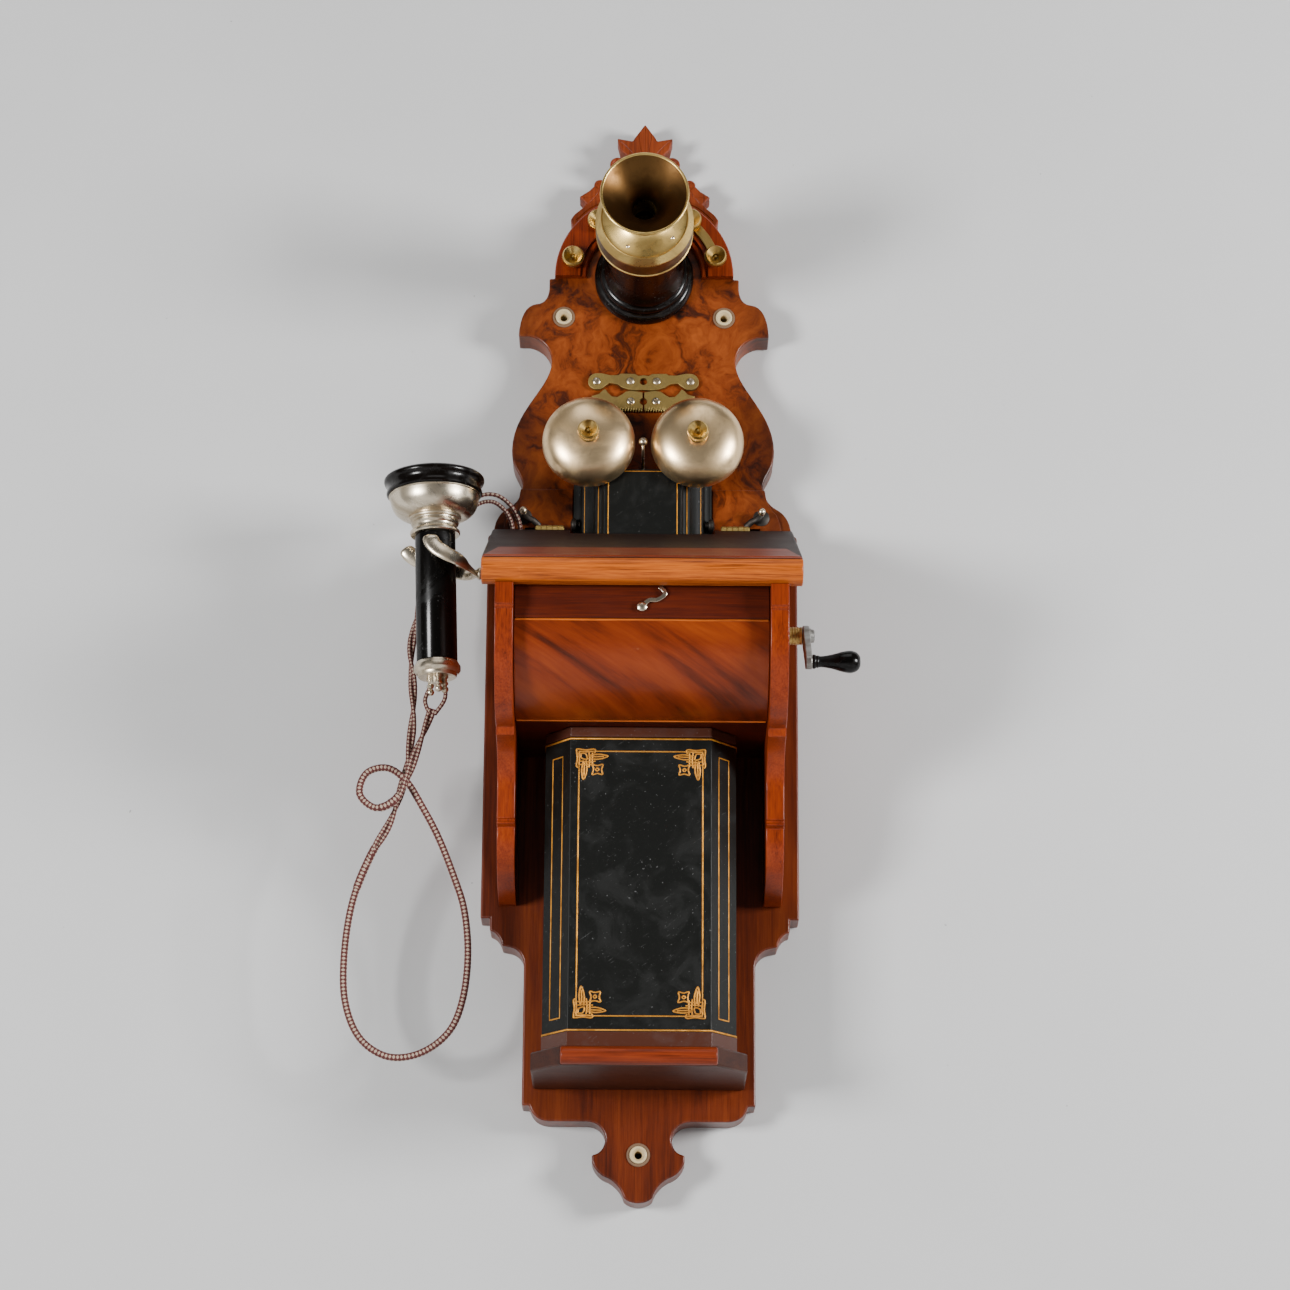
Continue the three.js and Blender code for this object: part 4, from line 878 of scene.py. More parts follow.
def transmitter_cup():
    centre = at(0, 0, ARCH_Z)
    cup = span("transmitter_cup")
    r, back, front = cup.right, cup.back, cup.front
    pan = [(0, back), (r - 1, back), (r, back + 0.6), (r, back + 1.6), (r - 0.9, back + 2.4)]
    pan += [(r - 1, back + 3), (r - 1, front - 0.6), (r - 2.2, front), (r - 2.2, back + 3.4), (0, back + 3.4)]
    hang(lathe("cup_pan", pan, centre, steps=96), "root", BRASS, "brass", "transmitter_cup")
    band = [(r - 0.9, back + 2.6), (r - 0.35, back + 2.8), (r - 0.35, front - 1), (r - 0.9, front - 0.8)]
    hang(lathe("cup_band", band, centre, steps=96), "root", BROWNED, "brass")
    low = front + 0.3
    face = [(8, low), (r - 0.5, low), (r, low + 0.6), (r, low + 1.9), (r - 3.6, low + 6.8)]
    face += [(r - 4.2, low + 7), (r - 4.8, low + 6.4), (r - 5.4, low + 6.5)]
    face += bend([face[-1], (r - 14, low + 9.4), (16.4, low + 11), (15.4, low + 12.4)], 12)
    face += [(15, low + 13.3), (16, low + 14.2), (15, low + 15.1), (12, low + 15.4)]
    face += bend([face[-1], (10.4, low + 16), (10.6, low + 18.8)], 6)
    face += [(8, low + 18.8)]
    hang(lathe("cup_face", face, centre, steps=96), "root", BRASS, "brass", "transmitter_face")


HORN_THROAT = 8
HORN_LIP = 1.1


def horn():
    """The flared mouthpiece with a rolled lip, and the dark brass that lines it."""
    centre = at(0, 0, ARCH_Z)
    node = span("mouthpiece")
    start, reach = node.back, node.front - node.back
    spread = node.right - 1.9 - HORN_THROAT

    def flare(t, add):
        return HORN_THROAT + add + spread * t**1.75

    shares = [i / 24 for i in range(25)]
    shell = [(flare(t, 1.9) + 0.3 * (1 - t), start + (reach - 1.2) * t) for t in shares]
    shell += arc((node.right - HORN_LIP, node.front - HORN_LIP), HORN_LIP, 0, 150, 8)
    shell += [(flare(t, 0.5), start + (reach - 1.6) * t) for t in reversed(shares)]
    hang(lathe("horn", shell, centre, steps=128), "root", BRASS, "bronze", "mouthpiece")
    lining = [(flare(t, 0.45), start + (reach - 1.4) * t) for t in shares]
    lining += [(flare(t, 0), start + (reach - 1.4) * t) for t in reversed(shares)]
    hang(lathe("horn_lining", lining, centre, steps=128), "root", LINING, "bronze")


SCREW_TURNS = (-118, -38, 158)
SCREW_RING = 24.5


def face_screws():
    out = span("transmitter_cup").front + 7.9
    pin = [(0, 0), (1.3, 0), (1.3, 0.7), (0.8, 1.1), (0, 1.2)]
    for i, turn in enumerate(SCREW_TURNS, 1):
        a = math.radians(turn)
        spot = at(SCREW_RING * math.cos(a), out, ARCH_Z + SCREW_RING * math.sin(a))
        hang(lathe("pin", pin, spot, steps=16), "root", NICKEL, "brass").name = f"face_screw_{i}"


# ---- terminals, posts and arrester -------------------------------------------------------------


def thumb_nut(name, spot, radius, height, teeth=40):
    """A dished brass nut with a milled rim and a stud in its middle."""
    h = height
    rim = []
    for i in range(2 * teeth):
        a = math.pi * i / teeth
        r = (radius if i % 2 else radius - 0.35) * MM
        rim.append(spot + Vector((r * math.cos(a), 0, r * math.sin(a))) + OUTWARD * h * 0.3 * MM)
    milled = slab("milled", rim, OUTWARD * h * 0.36 * MM, 0)
    bore = [(0, -1), (radius - 1.2, -1), (radius - 1.2, h + 1), (0, h + 1)]
    milled = cut(milled, lathe("bore", bore, spot, steps=48))
    profile = [(0, 0), (radius * 0.62, 0), (radius * 0.62, h * 0.2), (radius - 0.6, h * 0.3)]
    profile += [(radius - 0.6, h * 0.66), (radius - 0.5, h * 0.74), (radius - 1.3, h * 0.84)]
    profile += [(2.5, h * 0.42), (2.3, h * 0.12), (1.1, h * 0.12), (1.1, h * 0.46)]
    profile += [(0.7, h * 0.54), (0, h * 0.56)]
    return join(name, lathe(name, profile, spot, steps=56), milled)


def screw_head(name, spot, radius, turn=0):
    """A domed slotted head."""
    profile = [(0, 0), (radius, 0), (radius, 0.5), (radius * 0.8, 0.95), (radius * 0.4, 1.15), (0, 1.2)]
    head = lathe(name, profile, spot, steps=28)
    along = Vector((math.cos(turn), 0, math.sin(turn)))
    reach = along * radius * 1.2
    width = along.cross(OUTWARD) * 0.32
    corners = [width + reach, width - reach, -width - reach, reach - width]
    groove = slab("slot", [spot + (c + OUTWARD * 0.7) * MM for c in corners], OUTWARD * MM, 0)
    return cut(head, groove)


NUT_HEIGHT = 10.2


def terminals():
    for i in range(1, 5):
        node = span(f"terminal_{i}")
        x, z = middle(node)
        radius = (node.right - node.left) / 2
        nut = thumb_nut(f"terminal_nut_{i}", at(x, node.front - NUT_HEIGHT, z), radius, NUT_HEIGHT)
        hang(nut, "root", BRASS, "brass", f"terminal_{i}")
    node = span("terminal_strip")
    line = arc((0, ARCH_Z), (ARCH_RADIUS + RING_INNER) / 2, 8, 56, 20)
    strip = front_slab("strip", ribbon(line, 6.6), node.back, node.front, 0.35)
    hang(strip, "root", BRASS, "brass", "terminal_strip")


def line_posts():
    for side, inward in (("left", 1), ("right", -1)):
        x, z = middle(span(f"line_post_{side}"))
        post = [(0, 2), (1.8, 2), (1.8, 10.4), (2.4, 11), (1.7, 11.8)]
        post += arc((0, 13.4), 2.7, -38, 90, 8)
        ball = lathe(f"post_ball_{side}", post, at(x, 0, z), steps=32)
        hang(ball, "root", NICKEL, "brass", f"line_post_{side}")
        drop = [(0, 8, -0.5), (3, 7.5, -3.4), (7, 6, -5), (11, 4, -8.4)]
        line = smooth([(x + inward * dx, out, z + dz) for dx, out, dz in drop], 6)
        bracket = tube(f"post_bracket_{side}", [at(*p) for p in line], 2.3, 14, flat=0.6)
        hang(bracket, "root", IRON, "brass")
        pad = [(0, 0.2), (5.8, 0.2), (5.8, 2.6), (3, 3.8), (0, 3.8)]
        foot = lathe("foot", pad, at(x, 0, z - 1), steps=32)
        hang(foot, "root", IRON, "brass").name = f"post_foot_{side}"


BAR_TOP = [(0, 5), (3.6, 4.4), (6, 5.9), (13, 6.1), (16.2, 6.1), (18, 4.9), (24, 4.8), (27, 5.6), (30, 6.2)]
BAR_UNDER = [
    (30.5, -5.9), (28.6, -4.6), (26.6, -3), (24.6, -1.4), (21.6, -1.6), (18.4, -2.2), (15.4, -4.4), (11, -6),
    (6, -6.6), (0, -6.2),
]
PLATE_TOP = [
    (0.7, -8.2), (4, -7.6), (8.4, -6.9), (12.4, -7.6), (15.4, -10), (18.6, -11.8), (22.4, -11.4),
    (25.2, -8.6),
]
PLATE_OUTER = [
    (27.2, -5.6), (29.4, -7.2), (31.6, -9.6), (36.8, -11.2), (34, -13.8), (28.4, -14.2), (23, -18),
    (19, -21.4),
]
TOOTH_PITCH = 1.9
ARRESTER_SCREWS = [(-33.4, 0), (-9.4, 0.2), (9.4, 0.2), (33.4, 0), (-9, -15), (9, -15)]


def arrester():
    """The lightning arrester: a long rail over two toothed combs, screwed to the board."""
    bar = span("arrester_bar")
    z0 = middle(bar)[1]
    half = BAR_TOP + arc((33.2, 0), 6.2, 80, -80, 14) + BAR_UNDER
    top = front_slab("arrester_rail", mirrored([(x, z0 + z) for x, z in half]), bar.back, bar.front, 0.35)
    plug = [(0, -2), (2.7, -2), (2.7, 6), (0, 6)]
    cut(top, lathe("plug", plug, at(0, 0, z0), steps=28))
    hang(top, "root", BRASS_DULL, "brass", "arrester_bar")
    teeth = []
    for i in range(9):
        x = 17 - TOOTH_PITCH * i
        teeth += [(x + 0.7, -19.6), (x, -22.6), (x - 0.7, -22.6)]
    edge = PLATE_TOP + PLATE_OUTER + teeth + [(0.7, -21)]
    comb = front_slab("arrester_comb_right", [(x, z0 + z) for x, z in edge], bar.back, bar.front, 0.25)
    cut(comb, lathe("plug", plug, at(0, 0, z0 - 15.2), steps=28))
    hang(comb, "root", BRASS_DULL, "brass", "arrester_plate_right")
    hang(flipped(comb, "arrester_comb_left"), "root", BRASS_DULL, "brass", "arrester_plate_left")
    for i, (x, z) in enumerate(ARRESTER_SCREWS, 1):
        head = screw_head(f"arrester_screw_{i}", at(x, bar.front, z0 + z), 2.7, turn=i * 1.1)
        hang(head, "root", NICKEL, "nickel")


# ---- ringer ------------------------------------------------------------------------------------


GONG_WALL = 2


def dome(radius, depth):
    """Half the outline of a bell, from its rim to its hole."""
    turns = [math.radians(90 * i / 26) for i in range(25)]
    return [(radius * math.cos(a) ** 0.8, depth * math.sin(a) ** 0.8) for a in turns] + [(4.8, depth)]


def gongs():
    for side in ("left", "right"):
        node = span(f"gong_{side}")
        x, z = middle(node)
        r = (node.right - node.left) / 2
        d = node.front - node.back
        outline = dome(r, d) + dome(r - GONG_WALL, d - GONG_WALL)[::-1]
        bell = lathe(f"bell_{side}", outline, at(x, node.back, z), steps=96, angle=50)
        hang(bell, "root", BELL, "bronze", f"gong_{side}")
        top = node.front
        post = [(0, 0.3), (8, 0.3), (8, 3), (4.4, 4.4), (4.4, top + 0.2), (6.6, top + 0.2)]
        post += [(6.9, top + 0.8), (6.2, top + 1.6), (4.6, top + 2), (0, top + 2)]
        stud = lathe(f"bell_post_{side}", post, at(x, 0, z), steps=48)
        hang(stud, "root", BRASS, "brass", f"gong_stud_{side}")
        base = top + 1.8
        height = (span(f"gong_stud_{side}").front - base) * 1.25
        nut = thumb_nut(f"bell_nut_{side}", at(x, base, z), 7.4, height)
        hang(nut, "root", BRASS, "brass")


RINGER_SIDE = [
    (27, 27.4), (27.8, 26), (28, 23.4), (29.4, 22.2), (32, 21.8), (33, 20.6), (33.2, 18.4), (34.4, 16),
    (36.6, 13.4), (39.4, 11.6), (42, 10.8), (43, 9.4), (43.2, 7), (45, 5.4), (48.2, 4.8), (48.6, 4),
    (48.6, 0.3),
]
RINGER_ROOM = [(-40, -1), (-40, 7), (-26, 15), (-24.5, 25.4)]
ringer_span = span("ringer_cover")


def ringer_case():
    """The moulded cover of the coils, hollow from below, with a slot for the clapper's rod."""
    case = ringer_span
    plan = [(0, case.front), (26, case.front)] + RINGER_SIDE
    shell = floor_slab("ringer_case", mirrored(plan), case.low, case.high, 0.5)
    hollow = RINGER_ROOM + [(-x, out) for x, out in reversed(RINGER_ROOM)]
    room = floor_slab("room", hollow, case.low - 2, case.high - 3, 0)
    half = case.front / 2
    gap = block("slot", (-6, 6), (half - 4, half + 8), (case.high - 5, case.high + 1), 0)
    hang(cut(shell, room, gap), "root", JAPAN, "japanned", "ringer_cover")


def ringer_gilding():
    case = ringer_span
    top = case.high - 1.6
    lines = []
    for hand in (1, -1):
        for x, out in ((24, case.front), (30.8, 22), (40.6, 11.1)):
            lines.append([at(hand * x, out - 0.25, case.low + 1), at(hand * x, out - 0.25, top)])
    lines.append([at(-25, case.front - 0.25, top), at(25, case.front - 0.25, top)])
    hang(wires("ringer_gilding", lines, 0.42), "root", GILT, "brass")


def ringer_knobs():
    knob = [(0, 0), (2, 0), (2, 2), (4.2, 2.6), (4.6, 4), (4.2, 5.6), (2, 6.4), (0, 6.4)]
    for hand, side in ((1, "right"), (-1, "left")):
        grip = lathe("knob", knob, at(hand * 43.9, 9, 116), RIGHTWARD * hand, steps=24)
        hang(grip, "root", IRON, "japanned").name = f"ringer_knob_{side}"


BALL_RADIUS = 3.2


def clapper():
    swing = span("clapper")
    pivot = ringer_span.high - 8
    ball = at(0, swing.front - BALL_RADIUS, swing.high - BALL_RADIUS)
    rod = [(0, 14, pivot), (0, 15, pivot + 6), (0, 18, pivot + 12), (0, 33, pivot + 20), (0, 34, pivot + 26)]
    stick = tube("stick", [at(*p) for p in smooth(rod, 6)], 1.1, 12, facing=RIGHTWARD)
    profile = [(max(r, 0), h) for r, h in arc((0, 0), BALL_RADIUS, -90, 90, 16)]
    knob = lathe("ball", profile, ball, UPWARD, steps=32)
    yoke = block("yoke", (-22, 22), (11, 17), (pivot - 1.2, pivot + 1.2), 0.3)
    hang(join("hammer", stick, knob, yoke), "clapper", NICKEL, "steel", "clapper")


# ---- desk-shaped box ---------------------------------------------------------------------------

LID_SLOPE = math.radians(24.5)
lid_span = span("lid")
side_span = span("side_right")
rail = span("front_rail")
bow = span("bow_panel")
NOSE_RADIUS = 9
NOSE_OUT = lid_span.front - NOSE_RADIUS
NOSE_Z = lid_span.low + NOSE_RADIUS
LID_BACK = lid_span.back
LID_THICK = 10


def lid_top(out):
    return lid_span.high - (out - LID_BACK) * math.tan(LID_SLOPE)


def lid_under(out):
    return lid_top(out) - LID_THICK / math.cos(LID_SLOPE)


def side_edge():
    """A side bracket's outline, out and up: the cap under the nose, the bow, a cove and a foot."""
    front = side_span.front
    under = lid_span.low - 0.3
    bow_z = under - 18
    floor = bow.low
    edge = [(0.3, lid_under(LID_BACK) - 0.3), (LID_BACK, lid_under(LID_BACK) - 0.3)]
    edge += [(rail.front - 2, lid_under(rail.front - 2) - 0.3), (rail.front - 2, under), (front, under)]
    edge += [(front, bow_z + 3.2), (front - 1.2, bow_z + 2.4), (front - 1.2, bow_z + 1.4)]
    edge += [(front - 2.6, bow_z + 0.8)]
    for i in range(1, 25):
        a = math.radians(90 * i / 24)
        edge.append((106 + (front - 109) * math.cos(a), bow_z - (bow_z - floor + 8) * math.sin(a)))
    edge += [(104, floor - 13)]
    edge += bend([edge[-1], (70, floor - 16), (67, floor - 41)], 12)
    edge += [(66, floor - 60), (64.6, floor - 60.6), (64.6, floor - 62), (66, floor - 62.6)]
    edge += [(66, floor - 63.6), (61, floor - 65)]
    edge += bend([edge[-1], (58, floor - 97), (8, floor - 105)], 16)
    edge += [(0.3, floor - 105)]
    return edge


HOOK_SLOT_LOW = 55
HOOK_SLOT_TALL = 22


def box_sides():
    """The two brackets, the right one bored for the crank's shaft, the left one slotted for the hook."""
    right = side_slab("bracket_right", side_edge(), side_span.left, side_span.right, 1.2)
    left = flipped(right, "bracket_left")
    low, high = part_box("crank_shaft")
    shaft_foot = Vector((0, (low.y + high.y) / 2, (low.z + high.z) / 2))
    far = high.x / MM + 20
    cut(right, lathe("hole", [(0, 0), (4.4, 0), (4.4, far), (0, far)], shaft_foot, RIGHTWARD, 32))
    hook = span("switch_hook")
    tall = (HOOK_SLOT_LOW, HOOK_SLOT_LOW + HOOK_SLOT_TALL)
    cut(left, block("room", (-100, -80), (hook.back + 14, hook.front - 14), tall, 0))
    hang(right, "root", RED, "walnut", "side_right")
    hang(left, "root", RED, "walnut", "side_left")


BOW_WALL = 5


def box_front():
    """The rail under the nose, the bow below it, and the light stringing along the bow's edges."""
    plank = block("rail", (rail.left, rail.right), (rail.back, rail.front), (rail.low, rail.high), 0.8)
    hang(plank, "root", RAIL, "walnut", "front_rail")
    back = bow.back
    across = bow.front - back
    drop = bow.high - bow.low

    def quarter(wall):
        turns = [math.radians(90 * i / 32) for i in range(33)]
        return [(back + (across - wall) * math.cos(a), bow.high - (drop - wall) * math.sin(a)) for a in turns]

    outline = quarter(0) + quarter(BOW_WALL)[::-1]
    hang(side_slab("bow", outline, bow.left, bow.right, 0.5), "root", VENEER, "oak", "bow_panel")
    rows = []
    for out, z in ((back + 1.4, bow.low + 0.2), (bow.front - 0.3, bow.high - 0.6)):
        rows.append([at(bow.left + 1, out, z), at(bow.right - 1, out, z)])
    hang(wires("bow_stringing", rows, 0.8), "root", OAK, "oak")


STRIP_BACK = 123.4  # where the red strip begins
SEAM_TURN = 42  # degrees above level at which the nose's cap begins


def lid():
    """The desk, notched for the ringer, with its red strip and its rounded nose."""
    half = lid_span.right
    step = rail.front + 0.3
    joint = NOSE_OUT - 2
    desk = [(LID_BACK, lid_top(LID_BACK)), (LID_BACK, lid_under(LID_BACK)), (step, lid_under(step))]
    desk += [(step, lid_span.low + 3), (joint, lid_span.low + 3), (joint, lid_top(joint) - 0.2)]
    top = side_slab("desk", desk, -half, half, 1.4)
    notch = block("notch", (-50.6, 50.6), (0, 36), (60, 130), 0)
    hang(cut(top, notch), "lid", DESK, "oak", "lid")
    crown = 90 - math.degrees(LID_SLOPE)
    nose = [(NOSE_OUT - 6, lid_span.low), *arc((NOSE_OUT, NOSE_Z), NOSE_RADIUS, -90, SEAM_TURN, 22)]
    nose += [(NOSE_OUT - 6, NOSE_Z + 6)]
    hang(side_slab("nose", nose, -half, half, 1.6), "lid", OAK, "oak")
    lift = Vector((0, -math.sin(LID_SLOPE), math.cos(LID_SLOPE)))
    fore = NOSE_OUT + NOSE_RADIUS * math.cos(math.radians(crown)) - 0.2
    corners = [(-half + 9, STRIP_BACK), (half - 9, STRIP_BACK), (half - 1.2, fore), (-half + 1.2, fore)]
    strip = slab("desk_strip", [at(x, o, lid_top(o) - 1.2) for x, o in corners], lift * 1.5 * MM, 0.35)
    hang(strip, "lid", RED_ACROSS, "oak")
    cap = arc((NOSE_OUT, NOSE_Z), NOSE_RADIUS, crown, SEAM_TURN + 2, 5)
    cap += [(joint, NOSE_Z + 4), (NOSE_OUT - 4, lid_top(NOSE_OUT - 4) - 1)]
    hang(side_slab("nose_cap", cap, -half + 0.6, half - 0.6, 0.3), "lid", RED_ACROSS, "oak")
    turn = math.radians(SEAM_TURN)
    out = NOSE_OUT + (NOSE_RADIUS - 0.1) * math.cos(turn)
    z = NOSE_Z + (NOSE_RADIUS - 0.1) * math.sin(turn)
    hang(wires("nose_seam", [[at(-half + 2, out, z), at(half - 2, out, z)]], 0.35), "lid", DESK, "oak")


KNUCKLE_END = 75  # short of the line posts' brackets, which the lid's knuckles pass as it opens


def knuckles(length):
    """The outline of a hinge barrel of five knuckles."""
    profile = [(0, 0), (2.2, 0), (2.8, 0.6)]
    for i in range(1, 5):
        h = length * i / 5
        profile += [(2.8, h - 0.35), (2.3, h - 0.1), (2.3, h + 0.1), (2.8, h + 0.35)]
    return profile + [(2.8, length - 0.6), (2.2, length), (0, length)]


def hinges():
    """Each hinge's leaf and barrel on the board, and the knuckles that turn with the lid."""
    for side, hand in (("left", -1), ("right", 1)):
        node = span(f"hinge_{side}")
        x0, x1 = node.left + 1, node.right - 1
        z = middle(node)[1]
        barrel = lathe("barrel", knuckles(x1 - x0), at(x0, node.front - 3, z), RIGHTWARD, steps=32)
        leaf = block("leaf", (x0, x1), (0.3, 2), (node.low, node.high), 0.3)
        web = block("web", (x0 + 0.4, x1 - 0.4), (1, node.front - 3), (z - 0.8, z + 0.8), 0.2)
        plate = join(f"hinge_barrel_{side}", barrel, leaf, web)
        hang(plate, "root", BRASS_DULL, "brass", f"hinge_{side}")
        inner = min(abs(x0), abs(x1))
        start = at(min(hand * inner, hand * KNUCKLE_END), LID_BACK - 2.2, lid_span.high + 0.8)
        knuckle = lathe(f"hinge_knuckle_{side}", knuckles(KNUCKLE_END - inner), start, RIGHTWARD, steps=32)
        hang(knuckle, "lid", BRASS_DULL, "brass")


def latch():
    node = span("latch_hook")
    z0 = node.low + 3.2
    out = rail.front + 1
    line = smooth([(0, 0), (4.6, 4.4), (9.6, 4.6), (14.2, 7.4), (14.6, 10.6), (11.4, 13.6)], 6)
    hook = front_slab("hook", ribbon([(x, z0 + z) for x, z in line], 2.8), out, out + 1.6, 0.3)
    eye = [(0, -0.7), (2, -0.7), (2, 0.2), (3.2, 0.2), (3.2, 1.7), (2.2, 2.4), (0, 2.6)]
    pivot = lathe("eye", eye, at(0, out, z0), steps=32)
    hang(join("catch", hook, pivot), "latch", NICKEL, "nickel", "latch_hook")


# ---- battery box -------------------------------------------------------------------------------

cover = span("battery_cover")
ledge = span("battery_ledge")
CHAMFER = 17
CHAMFER_DEPTH = 21


def wrap(half, depth, back, across=CHAMFER, deep=CHAMFER_DEPTH):
    """The plan of something that wraps round three sides, from its left end to its right end."""
    left = [(-half, back), (-half, depth - deep), (-half + across, depth)]
    return left + [(-x, out) for x, out in reversed(left)]


def on_face(face, u, z, proud):
    """A place on the cover's front, or on its left or right chamfer, u across from that face's middle."""
    half, depth = cover.right, cover.front
    if face == "front":
        return at(u, depth + proud, z)
    hand = 1 if face == "right" else -1
    slope = math.hypot(CHAMFER, CHAMFER_DEPTH)
    x = half - CHAMFER / 2 + hand * u * CHAMFER / slope
    out = depth - CHAMFER_DEPTH / 2 - hand * u * CHAMFER_DEPTH / slope
    return at(hand * (x + proud * CHAMFER_DEPTH / slope), out + proud * CHAMFER / slope, z)


def gilt_frame(face, half, low, high, radius):
    """A closed rectangle of gilt line on one face."""
    sink = -radius * 0.55
    corners = [(-half, low), (half, low), (half, high), (-half, high)]
    places = []
    for (u0, z0), (u1, z1) in zip(corners, corners[1:] + corners[:1]):
        places += [on_face(face, u0 + (u1 - u0) * i / 4, z0 + (z1 - z0) * i / 4, sink) for i in range(4)]
    return places


ORNAMENT = [  # strokes of a square knot, across and inwards from its outer corner
    [(12.4, 3.4), (13.4, 1.8), (12, 0.6), (7, 1.2), (1.6, 0.6), (0.6, 1.6), (1.2, 7), (0.6, 12), (1.8, 13.4)],
    [(11.4, 2.2), (7, 2.6), (2.6, 2.6), (2.6, 7), (2.2, 11.4)],
    [(3.6, 3.6), (6.8, 4), (7.6, 7.6), (4, 6.8), (3.6, 3.6)],
    [(3, 8.9), (8, 9.4), (13.4, 8.9)],
    [(8.9, 3), (9.4, 8), (8.9, 13.4)],
    [(3, 11.3), (8, 11.2), (12.6, 11.3)],
    [(11.3, 3), (11.2, 8), (11.3, 12.6)],
    [(8.6, 5.2), (14, 4.2), (18, 4.4), (21.6, 5.4), (18, 7), (14, 7.6), (8.6, 7.2)],
    [(5.2, 8.6), (4.2, 14), (4.4, 18), (5.4, 21.6), (7, 18), (7.6, 14), (7.2, 8.6)],
    [(10, 5.9), (15, 5.8), (19, 5.6)],
    [(5.9, 10), (5.8, 15), (5.6, 19)],
    [(11.3, 11.3), (14.6, 12), (18.2, 11.2), (17.4, 14.6), (18, 18), (14.6, 17.4), (11.2, 18.2), (12, 14.6),
     (11.3, 11.3)],
    [(14.6, 13.5), (15.6, 14.6), (14.6, 15.7), (13.5, 14.6), (14.6, 13.5)],
]


COVER_WALL = 3
GILT_RADIUS = 0.62
KNOT_RADIUS = 0.66
KNOT_EDGE = 43.6  # how far across the knots' outer corners lie


def battery_case():
    """The painted head, and the chamfered cover that pulls off forwards."""
    band = span("battery_band")
    head = floor_slab("battery_head", wrap(cover.right, band.front, 0.3), band.low, band.high, 1)
    hang(head, "root", PLINTH, "mahogany", "battery_band")
    inner = wrap(cover.right - COVER_WALL, cover.front - COVER_WALL, 0.3)
    plan = wrap(cover.right, cover.front, 0.3) + inner[::-1]
    case = floor_slab("cover", plan, cover.low, cover.high, 0.6)
    hang(case, "battery_cover", JAPAN, "japanned", "battery_cover")


def rim_line(z):
    """A gilt line round the cover at one height."""
    side = cover.right - 0.25
    corner = cover.front - CHAMFER_DEPTH
    places = [(side, corner - 18), (side, corner), (cover.right - CHAMFER, cover.front - 0.25)]
    return [at(-x, out, z) for x, out in places] + [at(x, out, z) for x, out in reversed(places)]


def knot_strokes():
    strokes = []
    for hand in (1, -1):
        for up, corner_z in ((1, cover.high - 7.6), (-1, cover.low + 19.4)):
            for stroke in ORNAMENT:
                places = [(hand * (KNOT_EDGE - x), corner_z - up * z) for x, z in smooth(stroke, 4)]
                strokes.append([on_face("front", x, z, -0.35) for x, z in places])
    return strokes


def gilding():
    """Gilt frames on the cover's three faces, a line at its head and foot, and a knot in each corner."""
    frames = [gilt_frame("front", 41.3, cover.low + 21.4, cover.high - 9.7, GILT_RADIUS)]
    for face in ("left", "right"):
        frames.append(gilt_frame(face, 5.4, cover.low + 21, cover.high - 12, GILT_RADIUS))
    lines = wires("gilt_frames", frames, GILT_RADIUS, closed=True)
    rims = [rim_line(z) for z in (cover.high - 1, cover.low + 12)]
    rim = wires("rims", rims, GILT_RADIUS * 1.2)
    knots = wires("knots", knot_strokes(), KNOT_RADIUS)
    hang(join("gilding", lines, rim, knots), "battery_cover", GILT, "brass")


def battery_foot():
    """The cover's painted plinth, and the ledge with a rounded nose that it stands on."""
    outer = wrap(cover.right + 0.4, cover.front + 0.4, 2)
    inner = wrap(cover.right - 1, cover.front - 1, 2)
    plinth = floor_slab("cover_plinth", outer + inner[::-1], cover.low, cover.low + 11, 0.3)
    hang(plinth, "battery_cover", PLINTH, "japanned")
    shelf = wrap(ledge.right, ledge.front - 5, 0.3, CHAMFER + 3, CHAMFER_DEPTH + 5)
    shelf_board = floor_slab("ledge", shelf, ledge.low, ledge.high, 1.6)
    hang(shelf_board, "root", LEDGE, "walnut", "battery_ledge")
    r = (ledge.high - ledge.low) / 2 - 0.4
    length = 2 * (ledge.right - CHAMFER - 3)
    profile = eased([(0, 0), (r, 0), (r, length), (0, length)], 1.6, 5)
    end = at(-length / 2, ledge.front - r, middle(ledge)[1])
    hang(lathe("ledge_nose", profile, end, RIGHTWARD, steps=48), "root", RED_ACROSS, "walnut")


# ---- crank -------------------------------------------------------------------------------------


